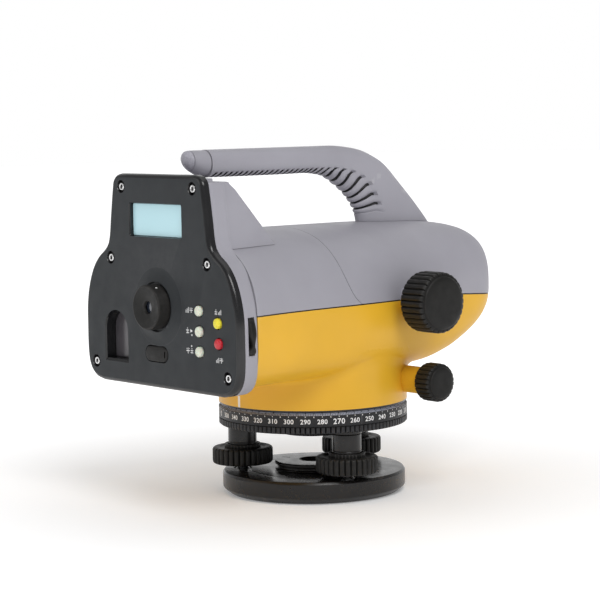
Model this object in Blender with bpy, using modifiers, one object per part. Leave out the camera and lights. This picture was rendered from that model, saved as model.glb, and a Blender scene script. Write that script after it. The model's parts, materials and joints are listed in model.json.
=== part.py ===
"""Electronic digital level on its own three-screw levelling base.

The level stands on Z = 0 with its vertical axis on the Z axis. The telescope looks along +Y, and the black control
panel with the eyepiece faces -Y. Sizes and places are given in millimetres, and the shape functions turn them into
metres.
"""

import bmesh
import bpy
from math import cos, pi, radians, sin
from mathutils import Matrix, Vector

MM = 0.001
GAP = 0.3               # between pieces that touch
RUNNING = 0.25          # radial clearance of what turns or slides

# Driving dimensions ------------------------------------------------------------------------------
CIRCLE_RADIUS = 54.0
LINE_OF_SIGHT = 113.3

BASE_RADIUS = 52.4
BASE_TOP = 12.5
BUSH_RADIUS = 22.4
BUSH_TOP = 17.2
TRIPOD_HOLE_RADIUS = 7.9            # for a 5/8 inch tripod screw

FOOT_CIRCLE_RADIUS = 41.0
FOOT_ANGLES = (226.5, 346.5, 106.5)
FOOT_KNOB_RADIUS = 17.4
FOOT_KNOB_BOTTOM = 15.6
FOOT_KNOB_TOP = 25.0
FOOT_KNOB_RIBS = 32
FOOT_CUP_TOP = 27.0                 # collar of the knob round the lower end of the post
FOOT_SCREW_RADIUS = 3.5
FOOT_SCREW_TOP = 38.0
FOOT_BALL_RADIUS = 4.9
FOOT_POST_RADIUS = 8.2
FOOT_POST_BOTTOM = 26.2             # clear of the knob by more than the tilt's travel
TILT_AXIS = 20.5

CIRCLE_BOTTOM = 39.6
CIRCLE_TOP = 51.4
CIRCLE_INNER_RADIUS = 36.0
PLATE_RADIUS = 35.6                 # tribrach disc inside the circle
PLATE_BOTTOM = 37.6
HUB_BOTTOM = 33.2
SPINDLE_RADIUS = 11.0
DRUM_BOTTOM = 51.8

WALL = 2.6
SPLIT_HEIGHT = 110.0                # line between the shells
SPLIT_BEND = 60.0                   # where along Y that line starts to drop
SPLIT_FRONT_DROP = 4.5
SHELL_REAR = -93.0
FRAME_REAR = -103.4
PANEL_BACK = -103.7
PANEL_FACE = -108.3
PANEL_EDGE_RADIUS = 2.6

FOCUS_Y, FOCUS_Z = 26.0, 110.3
FOCUS_RADIUS = 17.0
TANGENT_Y, TANGENT_Z = 32.0, 64.6
TANGENT_RADIUS = 10.8

HANDLE_TOP = 196.8
HANDLE_RADIUS = 7.6
HANDLE_REAR = -74.8                 # where the bar meets its end cap
PYLON_BASE, PYLON_TOP = 130.0, 180.6

ROUND, MEDIUM, SMALL = 40, 20, 12   # sides of large, medium and small turned pieces
SHARP = radians(35)

# Body sections: place along Y, half width, crown height, underside height, height of the widest line, and the
# roundness of the upper and the lower half (2 is an ellipse, more is squarer).
BODY_SECTIONS = (
    (-93.0, 66.5, 151.6, 68.9, 103.0, 2.75, 4.6),
    (-70.0, 62.6, 152.0, 69.3, 103.0, 2.7, 4.6),
    (-51.0, 60.5, 152.2, 69.6, 103.0, 2.6, 4.6),
    (-12.0, 58.4, 152.3, 70.0, 103.0, 2.5, 4.6),
    (24.0, 54.4, 152.3, 70.2, 103.0, 2.5, 4.6),
    (50.0, 49.6, 152.0, 71.0, 103.5, 2.6, 4.4),
    (70.0, 46.4, 151.4, 74.4, 105.5, 2.8, 4.0),
    (85.0, 44.2, 150.2, 79.2, 108.5, 3.0, 3.5),
    (97.0, 41.8, 148.0, 84.4, 111.5, 3.0, 3.1),
    (104.0, 38.9, 144.8, 88.6, 113.0, 3.0, 2.8),
    (108.0, 35.2, 140.6, 92.6, 113.6, 2.8, 2.6),
    (110.2, 30.2, 135.8, 97.0, 114.0, 2.6, 2.4),
)
BODY_FRONT = BODY_SECTIONS[-1][0]
FRONT_WALL = 3.0

# Half of the rear outline, from the top centre down the +X side to the bottom centre, as (x, z).
REAR_OUTLINE = (
    (33.5, 184.6), (37.6, 183.5), (40.4, 180.6), (41.4, 176.5), (43.9, 160.9), (45.6, 149.6), (47.0, 145.8),
    (50.0, 142.6), (56.0, 138.4), (61.0, 133.0), (64.8, 126.0), (67.4, 118.0), (68.7, 110.0), (69.0, 100.0),
    (68.9, 86.0), (67.8, 78.5), (65.2, 73.6), (60.6, 70.2), (54.0, 68.7),
)

# Fittings on the panel, as (x, z).
PANEL_SCREWS = ((32.1, 177.4), (-32.1, 177.4), (43.4, 138.0), (-43.4, 138.0), (59.6, 79.2), (-59.6, 79.2))
SCREW_WELL_RADIUS = 3.4
BUTTONS = {
    "button_white_1": (36.4, 113.2), "button_white_2": (36.4, 102.2), "button_white_3": (36.4, 91.5),
    "button_yellow": (52.3, 107.6), "button_red": (52.9, 96.9),
}
BUTTON_RADIUS = 2.8
DISPLAY_LOW, DISPLAY_HIGH = (-24.7, 150.7), (22.1, 168.7)
WINDOW_X, WINDOW_FLOOR, WINDOW_SPRING, WINDOW_HALF = -39.6, 81.8, 98.2, 10.4
COVER_AT, COVER_FLAT, COVER_RADIUS = (-2.1, 87.4), 5.6, 4.2

BATTERY_LOW, BATTERY_HIGH = (-58.0, 81.0), (-6.0, 105.0)      # opening in the left side, as (y, z)
PORT_LOW, PORT_HIGH = (-101.0, 91.0), (-95.8, 111.0)          # slot in the right side, as (y, z)

# Handle stations: outer edge and inner edge of the bar's section as (y, z), and the bar's thickness there.
HANDLE_STATIONS = (
    ((HANDLE_REAR, HANDLE_TOP), (HANDLE_REAR, 181.6), 12.4),
    ((-43.0, HANDLE_TOP), (-43.0, 181.5), 12.4),
    ((-5.0, HANDLE_TOP), (-5.0, 181.9), 12.4),
    ((14.0, HANDLE_TOP), (10.0, 179.6), 13.0),
    ((32.0, 195.0), (20.0, 173.2), 14.4),
    ((51.0, 188.2), (27.0, 166.0), 15.6),
    ((69.6, 172.0), (31.6, 159.0), 17.0),
    ((86.6, 154.6), (35.0, 152.0), 18.5),
    ((93.6, 146.4), (37.0, 144.0), 19.5),
)

# Sections of the handle's end cap: place along Y, height of its centre, radius.
END_CAP_SECTIONS = (
    (-75.1, 189.5, 7.1), (-80.0, 189.8, 6.8), (-84.5, 190.8, 5.8), (-87.6, 191.8, 4.3), (-89.2, 192.2, 2.2),
)

COLOURS = {             # base colour, roughness, metallic
    "black_enamel": ((0.020, 0.017, 0.015), 0.38, 0.0),
    "black_rubber": ((0.016, 0.016, 0.015), 0.62, 0.0),
    "panel_black": ((0.042, 0.046, 0.050), 0.48, 0.0),
    "steel": ((0.55, 0.55, 0.56), 0.30, 1.0),
    "brass": ((0.60, 0.44, 0.18), 0.35, 1.0),
    "circle_black": ((0.012, 0.012, 0.014), 0.42, 0.0),
    "yellow": ((0.72, 0.38, 0.035), 0.42, 0.0),
    "grey": ((0.36, 0.345, 0.385), 0.45, 0.0),
    "aluminium": ((0.42, 0.43, 0.44), 0.42, 1.0),
    "glass": ((0.80, 0.88, 0.92), 0.06, 0.0),
    "display": ((0.50, 0.78, 0.86), 0.25, 0.0),
    "button_white": ((0.72, 0.74, 0.64), 0.40, 0.0),
    "button_yellow": ((0.86, 0.76, 0.06), 0.38, 0.0),
    "button_red": ((0.60, 0.025, 0.035), 0.38, 0.0),
    "board": ((0.03, 0.16, 0.07), 0.50, 0.0),
    "battery": ((0.05, 0.06, 0.10), 0.50, 0.0),
}


# Scene and materials -----------------------------------------------------------------------------
for old in list(bpy.data.objects):
    bpy.data.objects.remove(old, do_unlink=True)

parts = bpy.data.collections.new("digital_level")
cutters = bpy.data.collections.new("cutters")
bpy.context.scene.collection.children.link(parts)
bpy.context.scene.collection.children.link(cutters)
cutters.hide_render = True


def material(name):
    found = bpy.data.materials.get(name)
    if found:
        return found
    colour, roughness, metallic = COLOURS[name]
    made = bpy.data.materials.new(name)
    made.use_nodes = True
    shader = made.node_tree.nodes["Principled BSDF"]
    shader.inputs["Base Color"].default_value = (*colour, 1.0)
    shader.inputs["Roughness"].default_value = roughness
    shader.inputs["Metallic"].default_value = metallic
    made.diffuse_color = (*colour, 1.0)
    return made


def place(name, mesh, colour, location=(0, 0, 0)):
    """A named part, or with no colour a cutter, from a mesh whose points are about its own origin."""
    piece = bpy.data.objects.new(name, mesh)
    piece.location = Vector(location) * MM
    if colour is None:
        cutters.objects.link(piece)
        piece.hide_render = True
        piece.display_type = "WIRE"
        return piece
    mesh.materials.append(material(colour))
    parts.objects.link(piece)
    mesh.shade_smooth()
    mesh.set_sharp_from_angle(angle=SHARP)
    return piece


def carried(name, location, *pieces):
    """An empty on a joint's axis, with the pieces that move about it."""
    axis = bpy.data.objects.new(name, None)
    axis.location = Vector(location) * MM
    axis.empty_display_size = 5 * MM
    parts.objects.link(axis)
    for piece in pieces:
        piece.parent = axis
        piece.matrix_parent_inverse = Matrix.Translation(-axis.location)


def cut(piece, *tools, operation="DIFFERENCE"):
    for tool in tools:
        step = piece.modifiers.new(tool.name, "BOOLEAN")
        step.operation = operation
        step.solver = "EXACT"
        step.object = tool
    return piece


def bevel(piece, width):
    step = piece.modifiers.new("rounded edges", "BEVEL")
    step.width = width * MM
    step.segments = 2
    step.limit_method = "ANGLE"
    step.angle_limit = SHARP
    return piece


# Shapes ------------------------------------------------------------------------------------------
TO_Y = Matrix.Rotation(radians(90), 4, "X")      # turned about Z, now about -Y: height h lies at y = -h
TO_X = Matrix.Rotation(radians(90), 4, "Y")      # turned about Z, now about +X: height h lies at x = +h
TO_MINUS_X = Matrix.Rotation(radians(-90), 4, "Y")


def mesh_of(form, name, turn=None):
    if turn is not None:
        bmesh.ops.transform(form, matrix=turn, verts=form.verts)
    mesh = bpy.data.meshes.new(name)
    form.to_mesh(mesh)
    form.free()
    return mesh


def turned(name, profile, colour, location=(0, 0, 0), turn=None, sides=MEDIUM):
    """A turned piece. The profile holds (radius, height), down the outer side and up the bore."""
    form = bmesh.new()
    rows = [form.verts.new((radius * MM, 0, height * MM)) for radius, height in profile]
    for upper, lower in zip(rows, rows[1:]):
        form.edges.new((upper, lower))
    if profile[0][0] > 0 or profile[-1][0] > 0:
        form.edges.new((rows[-1], rows[0]))
    piece = place(name, mesh_of(form, name), colour, location)
    if turn is not None:
        piece.rotation_euler = turn.to_euler()
    spin = piece.modifiers.new("turn", "SCREW")
    spin.axis = "Z"
    spin.steps = sides
    spin.render_steps = sides
    spin.use_merge_vertices = True
    spin.merge_threshold = 0.00005
    spin.use_smooth_shade = True
    return piece


def cylinder(name, radius, low, high, colour, location=(0, 0, 0), turn=None, sides=MEDIUM):
    form = bmesh.new()
    bmesh.ops.create_cone(
        form, cap_ends=True, segments=sides, radius1=radius * MM, radius2=radius * MM, depth=(high - low) * MM,
    )
    bmesh.ops.translate(form, vec=(0, 0, (low + high) / 2 * MM), verts=form.verts)
    return place(name, mesh_of(form, name, turn), colour, location)


def box(name, low, high, colour, location=(0, 0, 0)):
    """A box between two corners, given about the location."""
    low, high = Vector(low) * MM, Vector(high) * MM
    form = bmesh.new()
    bmesh.ops.create_cube(form, size=1)
    bmesh.ops.scale(form, vec=high - low, verts=form.verts)
    bmesh.ops.translate(form, vec=(low + high) / 2, verts=form.verts)
    return place(name, mesh_of(form, name), colour, location)


def loft(name, rings, colour, location=(0, 0, 0)):
    """A closed skin over rings of equal counts, each running the same way, with flat ends."""
    form = bmesh.new()
    rows = [[form.verts.new(Vector(point) * MM) for point in ring] for ring in rings]
    count = len(rings[0])
    for near, far in zip(rows, rows[1:]):
        for i in range(count):
            j = (i + 1) % count
            form.faces.new((near[i], near[j], far[j], far[i]))
    form.faces.new(list(reversed(rows[0])))
    form.faces.new(rows[-1])
    bmesh.ops.recalc_face_normals(form, faces=form.faces)
    return place(name, mesh_of(form, name), colour, location)


def plate(name, outline, back, face, colour):
    """An XZ outline filled between two places along Y."""
    return loft(name, [[(x, y, z) for x, z in outline] for y in (back, face)], colour)


def across(name, outline, low, high, colour=None):
    """A YZ outline filled between two places along X."""
    return loft(name, [[(x, y, z) for y, z in outline] for x in (low, high)], colour)


def ribbed(name, radius, groove, ribs, low, high, colour, location, turn=None, bore=0.0, dome=0.0):
    """A hand knob: an outline of ribs and grooves between two heights, with its ends drawn in a little."""
    draw_in, dome_inset, shoulder = 1.0, 3.5, 4.0
    levels = [(low, draw_in), (low + draw_in, 0.0), (high - draw_in, 0.0), (high, draw_in)]
    if dome:
        levels.append((high + dome, dome_inset))
    rings = []
    for height, inset in levels:
        ring = []
        for i in range(ribs * 2):
            angle = (i + 0.5) * pi / ribs
            reach = min(radius - inset, radius - groove * (i % 2)) if inset < groove else radius - inset
            ring.append(Vector((cos(angle) * reach, sin(angle) * reach, height)))
        rings.append(ring)
    if turn is not None:
        rings = [[turn @ point for point in ring] for ring in rings]
    piece = loft(name, rings, colour, location)
    end = high - shoulder if dome else high + draw_in
    return cut(piece, cylinder(name + "_bore", bore, low - draw_in, end, None, location, turn, SMALL))


# Levelling base ----------------------------------------------------------------------------------
def foot_places():
    for number, angle in enumerate(FOOT_ANGLES, 1):
        yield number, Vector((cos(radians(angle)), sin(radians(angle)), 0)) * FOOT_CIRCLE_RADIUS


def base_plate():
    rim_inner, rim_outer, recess = 44.2, 48.6, 1.7
    land_inner, land_outer, seat = 20.0, 24.0, 4.0
    bore, socket, socket_floor = 17.0, FOOT_BALL_RADIUS + 0.5, 7.6
    profile = (
        (bore, BASE_TOP), (BASE_RADIUS - 1.4, BASE_TOP), (BASE_RADIUS - 0.3, BASE_TOP - 0.6),
        (BASE_RADIUS, BASE_TOP - 1.5), (BASE_RADIUS, 3.0), (rim_outer, 0.0), (rim_inner, 0.0), (rim_inner, recess),
        (land_outer, recess), (land_outer, 0.0), (land_inner, 0.0), (land_inner, seat), (bore, seat),
    )
    piece = turned("base_plate", profile, "black_enamel", sides=ROUND)
    for number, spot in foot_places():
        cut(piece, cylinder(f"foot_socket_{number}", socket, socket_floor, BASE_TOP + 1.5, None, spot, sides=SMALL))


def centre_bush():
    """Flanged bush in the middle of the base plate that takes the tripod screw."""
    top, flange = BUSH_TOP, BASE_TOP + GAP
    neck, foot, foot_top, foot_bottom = 16.7, 19.6, 3.7, 1.9
    profile = (
        (TRIPOD_HOLE_RADIUS, top), (BUSH_RADIUS - 0.6, top), (BUSH_RADIUS, top - 0.6), (BUSH_RADIUS, top - 1.8),
        (BUSH_RADIUS - 1.4, top - 2.2), (BUSH_RADIUS - 1.4, top - 3.6), (BUSH_RADIUS - 0.2, top - 4.0),
        (BUSH_RADIUS - 0.2, flange), (neck, flange), (neck, foot_top), (foot, foot_top), (foot, foot_bottom),
        (TRIPOD_HOLE_RADIUS, foot_bottom),
    )
    turned("centre_bush", profile, "black_enamel")


def spring_plate():
    """Flat spring in the recess under the base plate, which draws the foot screws down into their sockets."""
    turned("spring_plate", ((24.6, 1.3), (43.8, 1.3), (43.8, 0.5), (24.6, 0.5)), "steel")


def foot_screws():
    """Foot screws with their knobs. Returns the posts above them, which belong to the tribrach."""
    posts = []
    radius, ball, top = FOOT_SCREW_RADIUS, FOOT_BALL_RADIUS, FOOT_SCREW_TOP
    post, post_top, bore = FOOT_POST_RADIUS, PLATE_BOTTOM - GAP, FOOT_SCREW_RADIUS + 0.8
    for number, spot in foot_places():
        screw = (
            (0.0, top), (radius - 0.5, top), (radius, top - 0.6), (radius, 14.6), (2.6, 13.4), (ball - 0.3, 11.6),
            (ball, 10.0), (ball - 1.3, 8.2), (0.0, 7.9),
        )
        turned(f"foot_screw_{number}", screw, "steel", spot, sides=SMALL)
        knob = ribbed(
            f"foot_knob_{number}", FOOT_KNOB_RADIUS, 0.9, FOOT_KNOB_RIBS, FOOT_KNOB_BOTTOM, FOOT_KNOB_TOP,
            "black_rubber", spot, bore=radius + GAP,
        )
        inner, outer, low = post + 0.5, post + 2.1, FOOT_KNOB_TOP - 0.5
        cup = ((inner, FOOT_CUP_TOP), (outer, FOOT_CUP_TOP), (outer, low), (inner, low))
        cut(knob, turned(f"foot_cup_{number}", cup, None, spot), operation="UNION")
        profile = ((bore, post_top), (post, post_top), (post, FOOT_POST_BOTTOM), (bore, FOOT_POST_BOTTOM))
        posts.append(turned(f"foot_post_{number}", profile, "black_enamel", spot))
    return posts


def tribrach_body():
    """Disc and bearing tower that the circle turns round, with a hub below and an ear over each foot post."""
    bore, top, pad_top = SPINDLE_RADIUS + GAP, 51.0, CIRCLE_BOTTOM - GAP
    profile = (
        (bore, top), (PLATE_RADIUS - 1.6, top), (PLATE_RADIUS, top - 0.6), (PLATE_RADIUS, PLATE_BOTTOM + 0.6),
        (PLATE_RADIUS - 0.6, PLATE_BOTTOM), (24.5, PLATE_BOTTOM), (20.6, HUB_BOTTOM + 1.4), (18.8, HUB_BOTTOM),
        (bore, HUB_BOTTOM),
    )
    piece = turned("tribrach_body", profile, "black_enamel", sides=ROUND)
    for number, spot in foot_places():
        ear = cylinder(f"ear_{number}", FOOT_POST_RADIUS + 0.2, PLATE_BOTTOM, pad_top, None, spot, sides=MEDIUM)
        cut(piece, ear, operation="UNION")
    for number, spot in foot_places():
        well = cylinder(f"foot_well_{number}", FOOT_SCREW_RADIUS + 0.9, 34.0, 45.0, None, spot, sides=SMALL)
        cut(piece, well)
    return piece


def circle_ring():
    """Graduated ring: a bevel for the scale above, a band for the figures, and a grip band below a thin groove."""
    radius, top, bottom = CIRCLE_RADIUS, CIRCLE_TOP, CIRCLE_BOTTOM
    profile = (
        (CIRCLE_INNER_RADIUS, top), (radius - 2.2, top), (radius, top - 1.6), (radius, bottom + 4.3),
        (radius - 0.6, bottom + 4.1), (radius, bottom + 3.8), (radius, bottom + 0.6), (radius - 0.7, bottom),
        (CIRCLE_INNER_RADIUS, bottom),
    )
    turned("circle_ring", profile, "circle_black", sides=ROUND)


def axis_spindle():
    """Vertical axis of the housing, which turns in the tribrach's tower."""
    top, bottom, radius = 58.5, 35.2, SPINDLE_RADIUS
    profile = (
        (0.0, top), (radius - 0.6, top), (radius, top - 0.7), (radius, bottom + 1.4), (radius - 1.4, bottom),
        (0.0, bottom),
    )
    turned("axis_spindle", profile, "steel")


# Housing -----------------------------------------------------------------------------------------
def signed_power(value, power):
    return abs(value) ** power * (1 if value >= 0 else -1)


def body_ring(section, inset, count=28):
    """One cross section of the body, drawn in by inset (or grown, where it is negative)."""
    y, width, crown, under, middle, upper, lower = section
    ring = []
    for i in range(count):
        angle = 2 * pi * i / count
        roundness, reach = (upper, crown - middle) if sin(angle) >= 0 else (lower, middle - under)
        x = (width - inset) * signed_power(cos(angle), 2 / roundness)
        z = middle + (reach - inset) * signed_power(sin(angle), 2 / roundness)
        ring.append(Vector((x, y, z)))
    return ring


def body_form(name, inset, rear, front=BODY_FRONT, colour=None):
    """The body as one solid, from its first section moved to rear, to the front."""
    sections = [(rear, *BODY_SECTIONS[0][1:]), *BODY_SECTIONS[1:]]
    rings = [body_ring(section, inset) for section in sections]
    for number, ring in enumerate(rings):
        limit = front - 0.01 * (len(rings) - number)      # sections past the front pile up just behind it
        for point in ring:
            if point.y > limit and front < BODY_FRONT:
                point.y = limit
    return loft(name, rings, colour)


def split_prism(name, upper):
    """Everything above, or below, the line where the two shells meet."""
    nose, rear, far = 125.0, -130.0, 230.0 if upper else -20.0
    line = SPLIT_HEIGHT + (-GAP if upper else GAP) / 2
    outline = [(rear, line), (SPLIT_BEND, line), (nose, line - SPLIT_FRONT_DROP), (nose, far), (rear, far)]
    return across(name, outline, -110.0, 110.0)


def block(name, low, high, x_low, x_high, inset=0.0):
    """A cutter whose YZ corners are drawn in by inset."""
    return box(name, (x_low, low[0] + inset, low[1] + inset), (x_high, high[0] - inset, high[1] - inset), None)


def shells():
    hollow = body_form("body_hollow", WALL, -99.0, BODY_FRONT - FRONT_WALL)
    drum_outside = cylinder("drum_outside", CIRCLE_RADIUS, DRUM_BOTTOM, 84.0, None, sides=ROUND)
    drum_inside = cylinder("drum_inside", CIRCLE_RADIUS - WALL, DRUM_BOTTOM + WALL, 90.0, None, sides=ROUND)
    spindle_seat = cylinder("spindle_seat", SPINDLE_RADIUS + GAP, 48.0, 60.0, None)
    spindle_hub = cylinder("spindle_hub", 15.5, DRUM_BOTTOM + 1.0, 61.5, None)
    objective_hole = cylinder("objective_hole", 20.0, -125.0, -90.0, None, (0, 0, LINE_OF_SIGHT), TO_Y)
    focus_at, tangent_at = (0, FOCUS_Y, FOCUS_Z), (0, TANGENT_Y, TANGENT_Z)
    focus_boss = cylinder("focus_boss", 8.2, 44.0, 60.6, None, focus_at, TO_X)
    focus_hole = cylinder("focus_hole", 4.3, 38.0, 70.0, None, focus_at, TO_X, SMALL)
    tangent_boss_right = cylinder("tangent_boss_right", 7.6, 40.0, 61.4, None, tangent_at, TO_X)
    tangent_boss_left = cylinder("tangent_boss_left", 7.6, 40.0, 61.4, None, tangent_at, TO_MINUS_X)
    tangent_hole = cylinder("tangent_hole", 3.3, -70.0, 70.0, None, tangent_at, TO_X, SMALL)
    door_hole = block("battery_opening", BATTERY_LOW, BATTERY_HIGH, -80.0, -50.0)

    lower = body_form("lower_shell", 0.0, SHELL_REAR, colour="yellow")
    cut(lower, drum_outside, focus_boss, tangent_boss_right, tangent_boss_left, operation="UNION")
    cut(lower, hollow, drum_inside)
    cut(lower, spindle_hub, operation="UNION")
    cut(lower, split_prism("above_split", True), objective_hole, focus_hole, tangent_hole, spindle_seat, door_hole)

    upper = body_form("upper_shell", 0.0, SHELL_REAR, colour="grey")
    cut(upper, focus_boss, operation="UNION")
    cut(upper, hollow, split_prism("below_split", False), objective_hole, focus_hole)

    door = body_form("battery_door", 0.05, SHELL_REAR - 0.2, colour="yellow")
    cut(door, hollow)
    cut(door, block("battery_door_block", BATTERY_LOW, BATTERY_HIGH, -80.0, -50.0, 0.4), operation="INTERSECT")
    carried("battery_door_axis", (-59.2, -32.0, BATTERY_LOW[1] + 0.2), door)


def rear_outline(inset=0.0):
    """The whole rear outline, clockwise seen from the back, drawn in on all sides by about inset."""
    top, bottom = REAR_OUTLINE[0][1], REAR_OUTLINE[-1][1]
    middle, shrink = (top + bottom) / 2, 1 - 2 * inset / (top - bottom)
    right = [(x - inset, middle + (z - middle) * shrink) for x, z in REAR_OUTLINE]
    return right + [(-x, z) for x, z in reversed(right)]


def pylon():
    """The wedge behind the upper panel that carries the rear of the handle."""
    rear = FRAME_REAR + 2.0
    rings = []
    for z, half, front_half, toe in ((PYLON_BASE, 48.6, 39.5, -43.5), (PYLON_TOP, 40.3, 39.6, -88.0)):
        rings.append([(-half, rear, z), (half, rear, z), (front_half, toe, z), (-front_half, toe, z)])
    return loft("pylon", rings, None)


def rear_frame():
    """Grey band round the back of the shells, joined to the pylon. Its back is open for the panel."""
    shoulder, taper, waist = 145.0, 15.0, 0.036      # the front edge narrows by waist below the shoulder
    top = PYLON_TOP - 0.2
    rear, front = [], []
    for x, z in rear_outline():
        narrow = 1 - waist * min(1.0, max(0.0, (shoulder - z) / taper))
        rear.append((x, FRAME_REAR, min(z, top)))
        front.append((x * narrow, SHELL_REAR - GAP, min(z, top)))
    piece = loft("rear_frame", [rear, front], "grey")
    saddle_top = PYLON_TOP + 0.7
    gusset = [(-97.0, 175.0), (-88.0, 168.0), (-74.0, 178.6), (-74.0, saddle_top), (-97.0, saddle_top)]
    cut(piece, pylon(), across("handle_saddle", gusset, -6.0, 6.0), operation="UNION")
    room = [(x, min(z, PYLON_TOP - 2.6)) for x, z in rear_outline(4.0)]
    cut(piece, plate("frame_room", room, -110.0, -96.0, None))
    cut(piece, box("pylon_room", (-31.0, -97.0, 140.0), (31.0, -90.5, 174.0), None))
    cut(piece, body_form("frame_opening", 3.2, -120.0), body_form("shell_clearance", -GAP, SHELL_REAR - 0.15))
    cut(piece, block("port_slot", PORT_LOW, PORT_HIGH, 60.0, 80.0))


def rear_panel():
    edge, through = PANEL_EDGE_RADIUS, (-115.0, -99.0)
    rings = []
    for y, inset in ((PANEL_BACK, 0.0), (PANEL_FACE + edge, 0.0), (PANEL_FACE + edge * 0.3, edge * 0.3),
                     (PANEL_FACE, edge)):
        rings.append([(x, y, z) for x, z in rear_outline(inset)])
    piece = loft("rear_panel", rings, "panel_black")
    well_floor, ahead = -PANEL_FACE - 2.3, -PANEL_FACE + 2.0
    for i, (x, z) in enumerate(PANEL_SCREWS, 1):
        cut(piece, cylinder(f"screw_well_{i}", SCREW_WELL_RADIUS, well_floor, ahead, None, (x, 0, z), TO_Y, SMALL))
    for name, (x, z) in BUTTONS.items():
        cut(piece, cylinder(name + "_hole", BUTTON_RADIUS + GAP, 100.0, ahead, None, (x, 0, z), TO_Y, SMALL))
    (x0, z0), (x1, z1) = DISPLAY_LOW, DISPLAY_HIGH
    cut(piece, box("display_recess", (x0, -110.0, z0), (x1, -100.0, z1), None))
    cut(piece, cylinder("eyepiece_hole", 9.5, 100.0, ahead, None, (0, 0, LINE_OF_SIGHT), TO_Y))
    cut(piece, plate("bubble_recess", arch_outline(WINDOW_HALF), *through, None))
    cut(piece, plate("cover_well", oval_outline(COVER_RADIUS + GAP), *through, None))


def arch_outline(half):
    """Arched opening of the bubble window."""
    outline = [(WINDOW_X - half, WINDOW_FLOOR), (WINDOW_X + half, WINDOW_FLOOR)]
    steps = 8
    for i in range(steps + 1):
        angle = pi * i / steps
        outline.append((WINDOW_X + half * cos(angle), WINDOW_SPRING + half * sin(angle)))
    return outline


def oval_outline(radius):
    """Outline of the reticle cover: two half circles and the flats between them."""
    outline, steps = [], 6
    for side, start in ((1, -90), (-1, 90)):
        for i in range(steps + 1):
            angle = radians(start + 180 * i / steps)
            x = COVER_AT[0] + side * COVER_FLAT + radius * cos(angle)
            outline.append((x, COVER_AT[1] + radius * sin(angle)))
    return outline


# Panel fittings ----------------------------------------------------------------------------------
def panel_fittings():
    for i, (x, z) in enumerate(PANEL_SCREWS, 1):
        profile = ((0.0, 107.0), (1.1, 107.0), (1.1, 108.0), (1.8, 108.0), (2.1, 107.7), (2.1, 106.3), (0.0, 106.3))
        turned(f"panel_screw_{i}", profile, "steel", (x, 0, z), TO_Y, SMALL)
    radius, flange = BUTTON_RADIUS, BUTTON_RADIUS + 1.1
    for name, (x, z) in BUTTONS.items():
        colour = name if name in COLOURS else "button_white"
        profile = (
            (0.0, 110.3), (radius - 1.2, 110.1), (radius - 0.3, 109.6), (radius, 109.0), (radius, 103.0),
            (flange, 103.0), (flange, 102.0), (0.0, 102.0),
        )
        turned(name, profile, colour, (x, 0, z), TO_Y, SMALL)
    box("keypad_board", (30.0, -99.8, 84.0), (59.5, -98.6, 119.0), "board")
    (x0, z0), (x1, z1) = DISPLAY_LOW, DISPLAY_HIGH
    box("display_window", (x0 + GAP, -105.9, z0 + GAP), (x1 - GAP, -105.0, z1 - GAP), "display")
    box("display_module", (x0 - 3.0, -103.3, z0 - 3.0), (x1 + 3.0, -98.5, z1 + 3.0), "board")
    plate("bubble_window", arch_outline(WINDOW_HALF - 0.4), -101.6, -100.4, "glass")
    bevel(plate("reticle_cover", oval_outline(COVER_RADIUS - 0.05), -102.9, -109.0, "black_rubber"), 0.8)
    vial_radius, vial_y = 8.2, -88.6
    vial = (
        (0.0, 95.2), (vial_radius - 0.6, 95.2), (vial_radius, 94.6), (vial_radius, 90.4), (vial_radius - 0.6, 90.0),
        (0.0, 90.0),
    )
    turned("bubble_vial", vial, "glass", (WINDOW_X, vial_y, 0))
    mirror = box("bubble_mirror", (-9.0, -0.6, -8.0), (9.0, 0.6, 8.0), "glass", (WINDOW_X, -88.0, 103.6))
    mirror.rotation_euler = (radians(-45), 0, 0)


def eyepiece():
    spot = (0, 0, LINE_OF_SIGHT)
    collar = ((13.2, 109.9), (14.4, 109.9), (16.0, 109.4), (18.2, 108.9), (20.6, 108.6), (13.2, 108.6))
    turned("eyepiece_collar", collar, "panel_black", spot, TO_Y)
    ring = (
        (3.3, 116.2), (5.2, 116.8), (11.6, 116.8), (12.2, 116.2), (12.2, 108.9), (9.2, 108.7), (9.2, 96.0),
        (7.0, 96.0), (7.0, 113.9), (3.3, 113.9),
    )
    turned("eyepiece_ring", ring, "black_rubber", spot, TO_Y)
    lens = ((0.0, 113.5), (4.0, 113.2), (6.7, 112.3), (6.7, 110.1), (0.0, 109.5))
    turned("eyepiece_lens", lens, "glass", spot, TO_Y, SMALL)


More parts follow.
